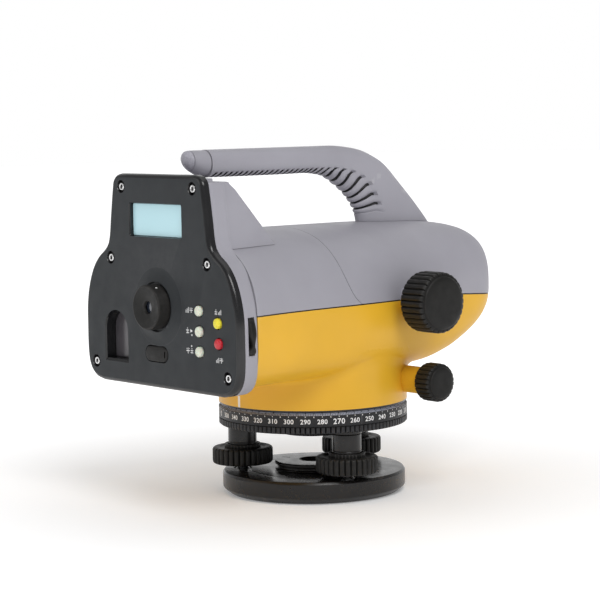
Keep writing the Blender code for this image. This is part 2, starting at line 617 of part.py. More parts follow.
# Telescope, inside -------------------------------------------------------------------------------
def telescope():
    spot = (0, 0, LINE_OF_SIGHT)
    tube = (
        (15.0, 85.0), (17.0, 85.0), (17.0, -40.0), (19.4, -44.0), (19.4, -112.5), (17.2, -112.5), (17.2, -45.0),
        (15.0, -41.0),
    )
    turned("telescope_tube", tube, "aluminium", spot, TO_Y)
    bezel = (
        (20.4, -110.6), (25.6, -110.6), (26.4, -111.4), (26.4, -116.6), (24.6, -118.5), (21.2, -118.5),
        (19.8, -117.6), (18.2, -114.0), (18.2, -113.0), (20.4, -113.0),
    )
    turned("objective_bezel", bezel, "black_rubber", spot, TO_Y)
    lens = ((0.0, -104.0), (16.9, -105.2), (16.9, -109.6), (0.0, -112.2))
    turned("objective_lens", lens, "glass", spot, TO_Y)
    cell = ((10.5, -54.0), (16.9, -54.0), (16.9, -68.0), (10.5, -68.0))
    turned("focus_lens_cell", cell, "brass", spot, TO_Y)
    frame = ((12.2, 6.0), (14.7, 6.0), (14.7, -8.0), (12.2, -8.0))
    turned("compensator_frame", frame, "aluminium", spot, TO_Y)
    box("compensator_pendulum", (-6.0, -4.0, -17.0), (6.0, 4.0, -1.0), "glass", (0, 1.0, LINE_OF_SIGHT + 10.0))
    box("beam_splitter", (-7.0, -62.0, -7.0), (7.0, -48.0, 7.0), "glass", spot)
    box("sensor_board", (-14.0, -72.0, 136.0), (14.0, -36.0, 137.6), "board")
    box("main_board", (-24.0, -78.0, 76.0), (43.0, 4.0, 77.6), "board")
    box("battery_pack", (-52.2, -56.0, 82.5), (-24.0, -8.0, 103.0), "battery")


# Controls on the sides ---------------------------------------------------------------------------
def side_controls():
    spot = (0, FOCUS_Y, FOCUS_Z)
    ribbed("focus_knob", FOCUS_RADIUS, 1.1, 30, 64.2, 81.6, "black_rubber", spot, TO_X, bore=4.2, dome=1.6)
    shaft = ((0.0, 74.0), (4.0, 74.0), (4.0, 36.0), (7.0, 35.6), (7.0, 26.0), (3.0, 25.6), (3.0, 22.0), (0.0, 22.0))
    turned("focus_shaft", shaft, "steel", spot, TO_X, SMALL)
    spot = (0, TANGENT_Y, TANGENT_Z)
    cylinder("tangent_shaft", 3.0, -66.0, 66.0, "steel", spot, TO_X, SMALL)
    for side, turn in (("right", TO_X), ("left", TO_MINUS_X)):
        ribbed(f"tangent_knob_{side}", TANGENT_RADIUS, 0.8, 24, 61.8, 73.0, "black_rubber", spot, turn, bore=3.2, dome=1.6)
    (y0, z0), (y1, z1) = PORT_LOW, PORT_HIGH
    flap = bevel(box("port_cover", (66.0, y0 + GAP, z0 + GAP), (70.4, y1 - GAP, z1 - GAP), "black_rubber"), 0.9)
    carried("port_cover_axis", (70.0, (y0 + y1) / 2, z0 + 0.5), flap)


# Handle ------------------------------------------------------------------------------------------
def handle_ring(outer, inner, half, count=16):
    """An oval section from the outer edge to the inner edge of the bar, in the plane that holds X and both."""
    middle, arm = (outer + inner) / 2, (outer - inner) / 2
    ring = []
    for i in range(count):
        angle = 2 * pi * i / count
        ring.append(middle + arm * cos(angle) + Vector((half * sin(angle), 0, 0)))
    return ring


def grip_ring(top, foot):
    """Section of the finger grip: flat against the bar and rounded at its inner edge."""
    half_top, half_foot, shoulder = 4.6, 3.4, 0.55
    points = []
    for half, way in ((half_top, 0.0), (half_top, shoulder), (half_foot, 1.0)):
        points.append(top.lerp(foot, way) + Vector((half, 0, 0)))
    return points + [Vector((-p.x, p.y, p.z)) for p in reversed(points)]


def handle():
    """Bar with the finger grip below it, both cut off where they meet the upper shell."""
    bar, grip, slim = [], [], 14.0
    for outer, inner, thickness in HANDLE_STATIONS:
        outer, inner = Vector((0, *outer)), Vector((0, *inner))
        inwards = (inner - outer).normalized()
        bar_inner = outer + inwards * thickness
        bar.append(handle_ring(outer, bar_inner, HANDLE_RADIUS + (0.6 if thickness > slim else 0.0)))
        grip.append(grip_ring(bar_inner + inwards * GAP, inner))
    clearance = bpy.data.objects["shell_clearance"]
    cut(loft("handle_bar", bar, "grey"), clearance)
    cut(loft("handle_grip", grip, "grey"), clearance)
    rings = []
    for y, z, radius in END_CAP_SECTIONS:
        up = Vector((0, 0, radius))
        rings.append(handle_ring(Vector((0, y, z)) + up, Vector((0, y, z)) - up, radius, MEDIUM))
    loft("handle_end_cap", rings, "grey")


base_plate()
centre_bush()
spring_plate()
foot_posts = foot_screws()
carried("levelling_axis", (0, 0, TILT_AXIS), tribrach_body(), *foot_posts)
circle_ring()
axis_spindle()
shells()
rear_frame()
rear_panel()
panel_fittings()
eyepiece()
telescope()
side_controls()
handle()
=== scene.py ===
"""Looks of the electronic level: fine surfaces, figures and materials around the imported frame."""

import json
from math import cos, degrees, hypot, pi, radians, sin

import bmesh
import bpy
import numpy as np
from mathutils import Matrix, Vector


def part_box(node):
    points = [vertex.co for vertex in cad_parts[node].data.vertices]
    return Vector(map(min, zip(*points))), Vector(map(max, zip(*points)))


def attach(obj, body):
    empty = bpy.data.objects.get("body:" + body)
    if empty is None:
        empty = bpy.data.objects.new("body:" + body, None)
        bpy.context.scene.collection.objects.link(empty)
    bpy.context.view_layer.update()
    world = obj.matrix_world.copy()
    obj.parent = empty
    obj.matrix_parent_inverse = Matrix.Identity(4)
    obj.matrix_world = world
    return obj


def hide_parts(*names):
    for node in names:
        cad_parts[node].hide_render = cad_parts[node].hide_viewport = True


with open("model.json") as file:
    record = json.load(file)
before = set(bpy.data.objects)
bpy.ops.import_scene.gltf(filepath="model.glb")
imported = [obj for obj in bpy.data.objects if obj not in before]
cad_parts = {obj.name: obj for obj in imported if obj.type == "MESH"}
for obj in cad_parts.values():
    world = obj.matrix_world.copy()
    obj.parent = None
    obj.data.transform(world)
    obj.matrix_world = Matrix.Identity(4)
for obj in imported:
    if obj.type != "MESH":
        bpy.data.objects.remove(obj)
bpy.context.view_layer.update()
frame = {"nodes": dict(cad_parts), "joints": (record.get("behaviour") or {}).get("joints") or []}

MM = 0.001
SAME_POINT = 0.01 * MM                           # points nearer to each other than this are merged
TO_Y = Matrix.Rotation(radians(90), 4, "X")      # height h of a turned profile lies at y = -h
TO_X = Matrix.Rotation(radians(90), 4, "Y")      # height h lies at x = +h
TO_MINUS_X = Matrix.Rotation(radians(-90), 4, "Y")


# Places and sizes, in millimetres, from the frame ------------
def node_box(node):
    """The low and high corners of a node of the frame."""
    low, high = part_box(node)
    return low / MM, high / MM


def centre(node):
    low, high = node_box(node)
    return (low + high) / 2


JOINT_AT = {joint["name"]: Vector(joint.get("pos_m", (0, 0, 0))) / MM for joint in frame["joints"]}
SIGHT = centre("eyepiece_ring").z                # height of the line of sight
CIRCLE_RADIUS = node_box("circle_ring")[1].x
CIRCLE_LOW, CIRCLE_HIGH = node_box("circle_ring")[0].z, node_box("circle_ring")[1].z
PANEL_FACE = node_box("rear_panel")[0].y
PANEL_BACK = node_box("rear_panel")[1].y
FRAME_REAR = node_box("rear_frame")[0].y
SHELL_REAR = node_box("upper_shell")[0].y
DRUM_BOTTOM = node_box("lower_shell")[0].z
FOCUS_AT = JOINT_AT["focus_turn"]
TANGENT_AT = JOINT_AT["tangent_turn"]
PYLON_TOP = 180.6
SPLIT = node_box("upper_shell")[0].z + 4.2       # height of the line between the shells, before its front dip
WALL = 2.6                                       # thickness of the shells


# Materials ---------------------------------------------------
COLOUR_A, COLOUR_B, COLOUR_RESULT = 6, 7, 2      # colour sockets of a Mix node
PATCH_DETAIL, PATCH_RANGE = 3.0, (0.3, 0.7)      # noise of soft patches, and the part of its range that is used


class Surface:
    """A Principled material with small helpers for procedural detail in object space."""

    def __init__(self, name, colour, roughness, **sockets):
        self.material = bpy.data.materials.new(name)
        self.material.use_nodes = True
        self.tree = self.material.node_tree
        self.shader = self.tree.nodes["Principled BSDF"]
        self.colour = colour
        self.shader.inputs["Base Color"].default_value = (*colour, 1.0)
        self.shader.inputs["Roughness"].default_value = roughness
        for socket, value in sockets.items():
            self.shader.inputs[socket.replace("_", " ")].default_value = value
        self.place = self.node("ShaderNodeTexCoord").outputs["Object"]
        self.height = None

    def node(self, kind, **settings):
        made = self.tree.nodes.new(kind)
        for key, value in settings.items():
            setattr(made, key, value)
        return made

    def link(self, start, end):
        self.tree.links.new(start, end)

    def scaled(self, size_mm, stretch=(1, 1, 1)):
        """Object coordinates in steps of size_mm."""
        scale = self.node("ShaderNodeMapping")
        scale.inputs["Scale"].default_value = [factor / (size_mm * MM) for factor in stretch]
        self.link(self.place, scale.inputs["Vector"])
        return scale.outputs["Vector"]

    def noise(self, size_mm, detail=2.0, roughness=0.5, stretch=(1, 1, 1)):
        """Noise whose features are about size_mm across."""
        noise = self.node("ShaderNodeTexNoise")
        noise.inputs["Scale"].default_value = 1.0
        noise.inputs["Detail"].default_value = detail
        noise.inputs["Roughness"].default_value = roughness
        self.link(self.scaled(size_mm, stretch), noise.inputs["Vector"])
        return noise.outputs["Fac"]

    def cells(self, size_mm):
        """Rounded cells about size_mm across."""
        cells = self.node("ShaderNodeTexVoronoi")
        cells.inputs["Scale"].default_value = 1.0
        self.link(self.scaled(size_mm), cells.inputs["Vector"])
        return cells.outputs["Distance"]

    def ramp(self, value, low, high, dark, light):
        """A value mapped from low..high onto two colours."""
        ramp = self.node("ShaderNodeValToRGB")
        ramp.color_ramp.elements[0].position = low
        ramp.color_ramp.elements[1].position = high
        ramp.color_ramp.elements[0].color = (*dark, 1.0)
        ramp.color_ramp.elements[1].color = (*light, 1.0)
        self.link(value, ramp.inputs["Fac"])
        return ramp.outputs["Color"]

    def mix(self, factor, first, second):
        """Two colours, each a socket or a plain colour, mixed by a factor."""
        mix = self.node("ShaderNodeMix", data_type="RGBA")
        self.link(factor, mix.inputs["Factor"])
        for value, number in ((first, COLOUR_A), (second, COLOUR_B)):
            if isinstance(value, tuple):
                mix.inputs[number].default_value = (*value, 1.0)
            else:
                self.link(value, mix.inputs[number])
        return mix.outputs[COLOUR_RESULT]

    def span(self, value, start, end):
        """A value mapped from one (low, high) range to another."""
        span = self.node("ShaderNodeMapRange")
        for socket, bound in zip(("From Min", "From Max", "To Min", "To Max"), (*start, *end)):
            span.inputs[socket].default_value = bound
        self.link(value, span.inputs["Value"])
        return span.outputs["Result"]

    def paint(self, colour):
        self.link(colour, self.shader.inputs["Base Color"])
        return self

    def vary(self, size_mm, amount):
        """The base colour, lighter and darker by amount in soft patches."""
        dark = tuple(c * (1 - amount) for c in self.colour)
        light = tuple(min(1.0, c * (1 + amount)) for c in self.colour)
        return self.ramp(self.noise(size_mm, PATCH_DETAIL), *PATCH_RANGE, dark, light)

    def wear(self, base, worn, edge):
        """Edges that stand out show the worn colour, broken up by noise. edge is a range of pointiness."""
        broken = self.node("ShaderNodeMath", operation="MULTIPLY")
        pointed = self.node("ShaderNodeNewGeometry").outputs["Pointiness"]
        self.link(self.span(pointed, edge, (0.0, 1.0)), broken.inputs[0])
        self.link(self.noise(3.0, 4.0, 0.7), broken.inputs[1])
        return self.mix(broken.outputs["Value"], base, worn)

    def gloss(self, size_mm, low, high):
        """Roughness that wanders between two values."""
        wander = self.span(self.noise(size_mm, PATCH_DETAIL), PATCH_RANGE, (low, high))
        self.link(wander, self.shader.inputs["Roughness"])
        return self

    def bump(self, value, height_mm):
        """Adds a height to the surface, over any added before."""
        bump = self.node("ShaderNodeBump")
        bump.inputs["Distance"].default_value = height_mm * MM
        bump.inputs["Strength"].default_value = 1.0
        self.link(value, bump.inputs["Height"])
        if self.height is not None:
            self.link(self.height, bump.inputs["Normal"])
        self.height = bump.outputs["Normal"]
        self.link(self.height, self.shader.inputs["Normal"])
        return self


def finish(name, colour, roughness, tone=None, worn=None, edge=(0.54, 0.60), gloss=None, bumps=(), **sockets):
    """A finish with real-scale detail. tone is (patch mm, amount), gloss is (patch mm, low, high), worn is the
    colour of rubbed edges, and each of bumps is (height mm, *settings of the noise)."""
    surface = Surface(name, colour, roughness, **sockets)
    if tone:
        patches = surface.vary(*tone)
        surface.paint(surface.wear(patches, worn, edge) if worn else patches)
    if gloss:
        surface.gloss(*gloss)
    for height, *settings in bumps:
        surface.bump(surface.noise(*settings), height)
    return surface


def panel_moulding():
    """Charcoal panel with an even, very fine leather-like grain."""
    surface = finish("panel_moulding", (0.024, 0.027, 0.030), 0.55, (30.0, 0.10), (0.07, 0.07, 0.075),
                     gloss=(9.0, 0.44, 0.56), Specular_IOR_Level=0.25)
    surface.bump(surface.cells(0.42), 0.022)
    return surface.bump(surface.noise(8.0), 0.02)


def display_face():
    """Pale blue reflective display with a barely visible dot grid and a faint painted glow."""
    surface = Surface("display_face", (0.44, 0.685, 0.745), 0.22)
    grid = surface.node("ShaderNodeTexBrick", offset=0.0)
    for socket, value in (("Scale", 1.0), ("Mortar Size", 0.045), ("Brick Width", 0.42), ("Row Height", 0.42),
                          ("Color1", (0.455, 0.70, 0.76, 1)), ("Color2", (0.44, 0.685, 0.75, 1)),
                          ("Mortar", (0.40, 0.64, 0.70, 1))):
        grid.inputs[socket].default_value = value
    turn = surface.node("ShaderNodeMapping")
    turn.inputs["Rotation"].default_value = (radians(-90), 0, 0)
    turn.inputs["Scale"].default_value = (1 / MM, 1 / MM, 1 / MM)
    surface.link(surface.place, turn.inputs["Vector"])
    surface.link(turn.outputs["Vector"], grid.inputs["Vector"])
    soft = surface.mix(surface.noise(30.0, 1.0), grid.outputs["Color"], (0.48, 0.71, 0.77))
    surface.paint(soft)
    # Painted glow: a faint emission of the display's own colour, though the display is no lamp.
    surface.link(soft, surface.shader.inputs["Emission Color"])
    surface.shader.inputs["Emission Strength"].default_value = 0.10
    return surface.gloss(12.0, 0.18, 0.26)


def circuit_board():
    """Green board with copper showing faintly through the lacquer."""
    surface = Surface("circuit_board", (0.02, 0.13, 0.06), 0.45)
    surface.paint(surface.ramp(surface.cells(2.4), 0.25, 0.45, (0.03, 0.17, 0.08), (0.015, 0.10, 0.045)))
    return surface.bump(surface.cells(2.4), 0.04)


def grained_moulding():
    """The grey moulding with a coarse speckled grain."""
    surface = Surface("grained_moulding", (0.33, 0.32, 0.365), 0.5)
    surface.paint(surface.ramp(surface.noise(0.5, 2.0), 0.35, 0.65, (0.27, 0.265, 0.31), (0.41, 0.40, 0.45)))
    return surface.gloss(3.0, 0.45, 0.58).bump(surface.noise(0.7, 2.0), 0.09)


def machined(name, colour, roughness):
    """Bare metal with fine tool lines."""
    return finish(name, colour, roughness, (3.0, 0.08), gloss=(1.5, roughness * 0.8, roughness * 1.3),
                  bumps=[(0.012, 0.22, 2.0, 0.5)], Metallic=1.0).material


def paint(name, colour):
    """Filling of figures and lines."""
    return finish(name, colour, 0.45, (1.2, 0.07), bumps=[(0.01, 0.3)]).material


def key_rubber(name, colour):
    """Soft translucent rubber of the keys."""
    return finish(name, colour, 0.38, (2.2, 0.08), gloss=(1.8, 0.32, 0.46), bumps=[(0.012, 0.45, 2.0)],
                  Subsurface_Weight=0.12, Subsurface_Scale=0.0015).material


# Light grey, faintly violet, satin moulding with a fine spark texture.
GREY = finish("grey_moulding", (0.330, 0.323, 0.362), 0.46, (38.0, 0.045), (0.42, 0.41, 0.44),
              gloss=(14.0, 0.42, 0.52), bumps=[(0.035, 0.55, 3.0, 0.6), (0.03, 9.0)],
              Specular_IOR_Level=0.35).material
GRAINED = grained_moulding().material
# Amber moulding with a soft sheen and fine grain.
YELLOW = finish("yellow_moulding", (0.740, 0.412, 0.024), 0.40, (42.0, 0.05), (0.82, 0.52, 0.09),
                gloss=(16.0, 0.34, 0.44), bumps=[(0.03, 0.6, 3.0, 0.6), (0.035, 11.0)],
                Specular_IOR_Level=0.35).material
PANEL = panel_moulding().material
# The panel's rounded edge, polished where hands rub it. The same black is painted round the drum's bottom edge as
# painted shade.
RIM_AND_DRUM_SHADE = finish("panel_rim_and_drum_shade", (0.0075, 0.0075, 0.0085), 0.22, (20.0, 0.15), gloss=(12.0, 0.19, 0.28),
             bumps=[(0.015, 6.0)]).material
# Painted shade in the bottoms of the finger slots.
SHADE = finish("slot_shade", (0.035, 0.034, 0.036), 0.7, (2.0, 0.3), bumps=[(0.05, 0.8, 3.0)]).material
# Black satin enamel on cast metal, its edges rubbed towards brown.
ENAMEL = finish("black_enamel", (0.0065, 0.0052, 0.0048), 0.30, (14.0, 0.16), (0.055, 0.042, 0.036), (0.53, 0.58),
                (9.0, 0.24, 0.34), [(0.012, 5.0, 1.0), (0.003, 0.6, 2.0)], Specular_IOR_Level=0.45).material
# Matt moulded rubber with a fine grain and a grey bloom.
RUBBER = finish("black_rubber", (0.0080, 0.0076, 0.0070), 0.50, (6.0, 0.22), (0.085, 0.080, 0.078), (0.52, 0.60),
                (4.0, 0.42, 0.58), [(0.03, 0.35, 3.0, 0.6), (0.03, 2.4)], Specular_IOR_Level=0.25).material
# Black anodised ring, with the fine concentric lines of turning.
ANODISED = finish("circle_anodised", (0.0055, 0.0055, 0.0065), 0.38, (5.0, 0.2), (0.10, 0.10, 0.11), (0.54, 0.62),
                  (5.0, 0.34, 0.46), [(0.01, 0.30, 2.0, 0.5, (0.05, 0.05, 1.0))], Specular_IOR_Level=0.3).material
WHITE = paint("white_paint", (0.80, 0.80, 0.80))
SCALE_GREY = paint("scale_grey", (0.40, 0.42, 0.50))
STEEL = machined("machined_steel", (0.56, 0.56, 0.57), 0.28)
BRIGHT = machined("bright_screw", (0.74, 0.74, 0.74), 0.24)
BRASS = machined("machined_brass", (0.62, 0.45, 0.19), 0.32)
ALUMINIUM = machined("machined_aluminium", (0.45, 0.46, 0.47), 0.38)
# Smoked window: a dark pane with a clean gloss.
DARK_GLASS = finish("dark_glass", (0.074, 0.068, 0.076), 0.16, (14.0, 0.16), gloss=(8.0, 0.13, 0.22)).material
# Coated lens in front of a dark tube.
LENS = finish("lens_glass", (0.020, 0.026, 0.040), 0.04, (22.0, 0.35), gloss=(10.0, 0.03, 0.07), Coat_Weight=1.0,
              Coat_Roughness=0.02).material
CLEAR = finish("clear_glass", (0.86, 0.93, 0.90), 0.03, gloss=(6.0, 0.03, 0.066), Transmission_Weight=0.92,
               IOR=1.5).material
DISPLAY = display_face().material
BOARD = circuit_board().material
KEY_WHITE = key_rubber("key_ivory", (0.70, 0.72, 0.60))
KEY_YELLOW = key_rubber("key_yellow", (0.84, 0.72, 0.045))
KEY_RED = key_rubber("key_red", (0.56, 0.022, 0.035))


# Shapes. Points are in millimetres here, and become metres in the mesh. ---
def linked(name, data):
    """A new object in the scene."""
    piece = bpy.data.objects.new(name, data)
    bpy.context.scene.collection.objects.link(piece)
    return piece


def make(name, points, faces, material, at=(0, 0, 0), turn=None):
    """A mesh object from points in millimetres, turned and then moved. Cutters have no material of their own."""
    mesh = bpy.data.meshes.new(name)
    spot = Vector(at)
    if turn is not None:
        points = [turn @ Vector(p) for p in points]
    mesh.from_pydata([(Vector(p) + spot) * MM for p in points], [], faces)
    mesh.materials.append(material or WHITE)
    outward(mesh)
    return linked(name, mesh)


def outward(mesh, merge=0.0):
    """Turns every face outwards, after merging the points that lie within a distance of each other."""
    form = bmesh.new()
    form.from_mesh(mesh)
    if merge:
        bmesh.ops.remove_doubles(form, verts=form.verts, dist=merge)
    bmesh.ops.recalc_face_normals(form, faces=form.faces)
    form.to_mesh(mesh)
    form.free()


def shade(piece, angle=32):
    """Smooth shading that stays sharp at edges above an angle in degrees."""
    piece.data.shade_smooth()
    piece.data.set_sharp_from_angle(angle=radians(angle))
    return piece


def filleted(profile, radius, steps=4):
    """A closed outline whose corners are rounded to the radius, or to less where its sides are short."""
    points = [Vector(p) for p in profile]
    count, result = len(points), []
    for i, here in enumerate(points):
        back, ahead = points[i - 1] - here, points[(i + 1) % count] - here
        if back.length < 1e-6 or ahead.length < 1e-6:
            continue
        corner = back.angle(ahead)
        if corner > pi - 0.35 or abs(here.x) < 1e-6:
            result.append(tuple(here))
            continue
        reach = min(radius * cos(corner / 2) / sin(corner / 2), 0.46 * back.length, 0.46 * ahead.length)
        start, end = here + back.normalized() * reach, here + ahead.normalized() * reach
        for k in range(steps + 1):
            t = k / steps
            result.append(tuple(start * (1 - t) ** 2 + here * 2 * t * (1 - t) + end * t * t))
    return result


def turned(name, profile, material, at=(0, 0, 0), turn=None, sides=96, fillet=0.3, wobble=None):
    """A turned piece from a closed (radius, height) outline. wobble(angle, radius, height) may move a radius."""
    outline = filleted(profile, fillet) if fillet else list(profile)
    on_axis = [abs(r) < 1e-6 for r, _ in outline]
    points, rows = [], []
    for (radius, height), axis in zip(outline, on_axis):
        row = []
        for i in range(1 if axis else sides):
            angle = 2 * pi * i / sides
            reach = wobble(angle, radius, height) if wobble else radius
            row.append(len(points))
            points.append((cos(angle) * reach, sin(angle) * reach, height))
        rows.append(row)
    faces = []
    for j, near in enumerate(rows):
        far = rows[(j + 1) % len(rows)]
        if len(near) == 1 and len(far) == 1:
            continue
        for i in range(sides):
            k = (i + 1) % sides
            if len(near) == 1:
                faces.append((near[0], far[i], far[k]))
            elif len(far) == 1:
                faces.append((near[i], near[k], far[0]))
            else:
                faces.append((near[i], near[k], far[k], far[i]))
    return shade(make(name, points, faces, material, at, turn))


def skin(name, rings, material, caps=True, at=(0, 0, 0), turn=None):
    """A skin over rings of equal counts."""
    count = len(rings[0])
    points = [p for ring in rings for p in ring]
    faces = []
    for r in range(len(rings) - 1):
        for i in range(count):
            j = (i + 1) % count
            faces.append((r * count + i, r * count + j, (r + 1) * count + j, (r + 1) * count + i))
    if caps:
        faces.append(tuple(reversed(range(count))))
        faces.append(tuple(range((len(rings) - 1) * count, len(rings) * count)))
    return make(name, points, faces, material, at, turn)


def block(name, low, high, material):
    """A box between two corners."""
    (x0, y0, z0), (x1, y1, z1) = low, high
    rings = [[(x0, y, z0), (x1, y, z0), (x1, y, z1), (x0, y, z1)] for y in (y0, y1)]
    return skin(name, rings, material)


def rod(name, radius, low, high, at=(0, 0, 0), turn=None, sides=48):
    return turned(name, ((0, low), (0, high), (radius, high), (radius, low)), None, at, turn, sides, fillet=0)


def plate(name, outline, y0, y1, material):
    """An XZ outline filled between two places along Y."""
    return skin(name, [[(x, y, z) for x, z in outline] for y in (y0, y1)], material)


def settle(piece):
    """Applies a piece's modifiers to its mesh."""
    graph = bpy.context.evaluated_depsgraph_get()
    mesh = bpy.data.meshes.new_from_object(piece.evaluated_get(graph))
    piece.modifiers.clear()
    piece.data = mesh
    return piece


def carve(piece, *tools, operation="DIFFERENCE"):
    """Cuts the tools out of a piece, or joins them to it, and removes the tools."""
    for tool in tools:
        step = piece.modifiers.new("carve", "BOOLEAN")
        step.operation = operation
        step.solver = "EXACT"
        step.object = tool
        settle(piece)
        bpy.data.objects.remove(tool, do_unlink=True)
    return piece


def soften(piece, width):
    """Rounds the sharp edges of a piece by a small width."""
    step = piece.modifiers.new("soften", "BEVEL")
    step.width = width * MM
    step.segments = 2
    step.limit_method = "ANGLE"
    step.angle_limit = radians(38)
    return settle(piece)


def joined(name, pieces):
    """Several loose pieces as one object."""
    form = bmesh.new()
    for piece in pieces:
        mesh = piece.data.copy()
        mesh.transform(piece.matrix_world)
        form.from_mesh(mesh)
        bpy.data.meshes.remove(mesh)
    mesh = bpy.data.meshes.new(name)
    form.to_mesh(mesh)
    form.free()
    for slot in pieces[0].data.materials:
        mesh.materials.append(slot)
    for piece in pieces:
        bpy.data.objects.remove(piece, do_unlink=True)
    return linked(name, mesh)


def ready(piece, body, slot, *nodes):
    """Rides the piece on its body, and hides the nodes that it stands for. Its slot is not used."""
    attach(piece, body)
    if nodes:
        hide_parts(*nodes)
    return piece


def kept_nodes():
    """The nodes that are seen as they are, inside the casing or through an opening."""
    looks = {
        STEEL: ("spring_plate", "bubble_mirror", "compensator_pendulum", "axis_spindle", "focus_shaft",
                "tangent_shaft"),
        BOARD: ("keypad_board", "display_module", "sensor_board", "main_board"),
        ALUMINIUM: ("telescope_tube", "compensator_frame"), BRASS: ("focus_lens_cell",), CLEAR: ("beam_splitter",),
        RUBBER: ("battery_pack",),
    }
    for material, nodes in looks.items():
        for node in nodes:
            materials = frame["nodes"][node].data.materials
            materials.clear()
            materials.append(material)


# Levelling base ----------------------------------------------
FEET = {number: centre(f"foot_knob_{number}") for number in (1, 2, 3)}


def base_plate():
    """Cast plate with a fine groove in its top, a ring recess below, and a well under each foot screw."""
    high = node_box("base_plate")[1]
    radius, top = high.x, high.z
    profile = (
        (17.0, top), (36.0, top), (36.4, top - 0.25), (36.8, top), (radius - 1.0, top - 0.05), (radius, top - 1.4),
        (radius, 3.4), (radius - 0.5, 2.6), (48.6, 0.0), (44.2, 0.0), (44.2, 1.7), (24.0, 1.7), (24.0, 0.0),
        (20.0, 0.0), (20.0, 4.0), (17.0, 4.0),
    )
    piece = turned("base_plate_fine", profile, ENAMEL, sides=192, fillet=0.55)
    for foot in FEET.values():
        carve(piece, rod("well", 5.4, 7.6, 14.0, at=(foot.x, foot.y, 0)))
    ready(shade(piece), "base", "black_enamel", "base_plate")


def centre_bush():
    """Bush with the tripod thread: a plain collar outside, thread crests inside."""
    low, high = node_box("centre_bush")
    top, hole, pitch = high.z, 7.9, 2.31
    bore = []
    height = low.z + 0.6
    while height < top - 1.4:
        bore += [(hole - 0.02, height), (hole - 0.95, height + pitch * 0.5), (hole - 0.02, height + pitch * 0.98)]
        height += pitch
    outer = [
        (hole + 0.9, top), (21.8, top), (22.4, top - 0.6), (22.4, 15.4), (20.9, 15.0), (20.9, 13.6), (22.2, 13.2),
        (22.2, 12.8), (16.7, 12.8), (16.7, 3.7), (19.6, 3.7), (19.6, low.z), (hole, low.z),
    ]
    piece = turned("centre_bush_fine", outer + bore + [(hole, top - 0.9)], ENAMEL, sides=128, fillet=0.22)
    angle = radians(205)
    notch = block("notch", (-2.6, -0.55, 0), (2.6, 0.55, 3), None)
    notch.matrix_world = Matrix.Translation(Vector((cos(angle) * 17.5, sin(angle) * 17.5, top - 0.5)) * MM) @ (
        Matrix.Rotation(angle, 4, "Z"))
    bpy.context.view_layer.update()
    carve(piece, notch)
    ready(shade(piece), "base", "black_enamel", "centre_bush")


def ring_about(sides, reach, height):
    """Points about the Z axis at a height. reach(angle) is the radius."""
    angles = [2 * pi * i / sides for i in range(sides)]
    return [(cos(angle) * reach(angle), sin(angle) * reach(angle), height) for angle in angles]


def hand_knob(name, radius, groove, ribs, low, high, at, bore, edge, turn=None, dome=0.0):
    """A knob with rounded ribs and narrow grooves between them, drawn in at both ends. It has a dome or a dish."""
    sides, bends = ribs * 8, 4

    def ribbed(inset):
        def reach(angle):
            rib = abs(sin(pi * ((angle * ribs / (2 * pi)) % 1.0))) ** 0.42
            return min(radius - inset * 0.55 - groove * (1 - rib), radius - inset)
        return reach

    def plain(reach):
        return lambda angle: reach

    turns = [(edge * (1 - cos(pi / 2 * k / bends)), edge * (1 - sin(pi / 2 * k / bends))) for k in range(bends + 1)]
    rings = [ring_about(sides, ribbed(inset), low + rise) for rise, inset in turns]
    rings += [ring_about(sides, ribbed(inset), high - drop) for inset, drop in turns]
    if dome:
        for k in range(1, 9):
            angle = pi / 2 * k / 9
            height = high + dome * (1 - (1 - sin(angle)) ** 1.6)
            rings.append(ring_about(sides, plain((radius - edge) * cos(angle) ** 0.62), height))
        piece = skin(name, rings, RUBBER, at=at, turn=turn)
        carve(piece, rod("hole", bore, low - 1, high - 4, at=at, turn=turn, sides=32))
    else:
        dish = radius - edge - 2.4
        floor = high - 0.5
        for reach, height in ((dish, high), (dish - 0.6, floor), (bore, floor), (bore, floor), (bore, low)):
            rings.append(ring_about(sides, plain(reach), height))
        piece = skin(name, [*rings, rings[0]], RUBBER, caps=False, at=at, turn=turn)
        outward(piece.data, SAME_POINT)
    return shade(piece, 40)


def feet():
    """Three foot screws with their ribbed knobs, and the posts above them."""
    cup_height, cup_inner, cup_outer = 2.0, 8.7, 10.3
    thread_low, thread_high, pitch, crest, root = 15.0, 37.2, 0.75, 3.5, 3.1
    for number, foot in FEET.items():
        low, high = node_box(f"foot_knob_{number}")
        spot = (foot.x, foot.y, 0)
        knob = hand_knob(f"foot_knob_{number}_fine", 17.4, 1.25, 32, low.z, high.z - cup_height, spot, bore=3.8,
                         edge=1.6)
        cup = ((cup_inner, high.z), (cup_outer, high.z), (cup_outer, high.z - 3.0), (cup_inner, high.z - 3.0))
        carve(knob, turned("cup", cup, None, spot, sides=96, fillet=0.45), operation="UNION")
        ready(shade(knob, 40), f"foot_{number}", "black_rubber", f"foot_knob_{number}")
        screw = [(0, 7.9), (3.6, 8.2), (4.7, 9.2), (4.9, 10.4), (4.5, 11.8), (2.6, 13.4), (3.4, 14.6)]
        height = thread_low
        while height < thread_high:
            screw += [(crest, height), (root, height + pitch / 2)]
            height += pitch
        screw += [(3.4, 37.6), (2.9, 38.0), (0, 38.0)]
        ready(turned(f"foot_screw_{number}_fine", screw, STEEL, spot, sides=40, fillet=0), f"foot_{number}", "steel",
              f"foot_screw_{number}")
        low, high = node_box(f"foot_post_{number}")
        bottom, top, bore, radius = low.z, high.z, 4.3, 8.2
        post = ((bore, top), (radius, top), (radius, bottom + 2.0), (radius - 0.2, bottom + 1.7),
                (radius, bottom + 1.4), (radius, bottom), (bore, bottom))
        ready(turned(f"foot_post_{number}_fine", post, ENAMEL, spot, sides=80, fillet=0.25), "tribrach",
              "black_enamel", f"foot_post_{number}")


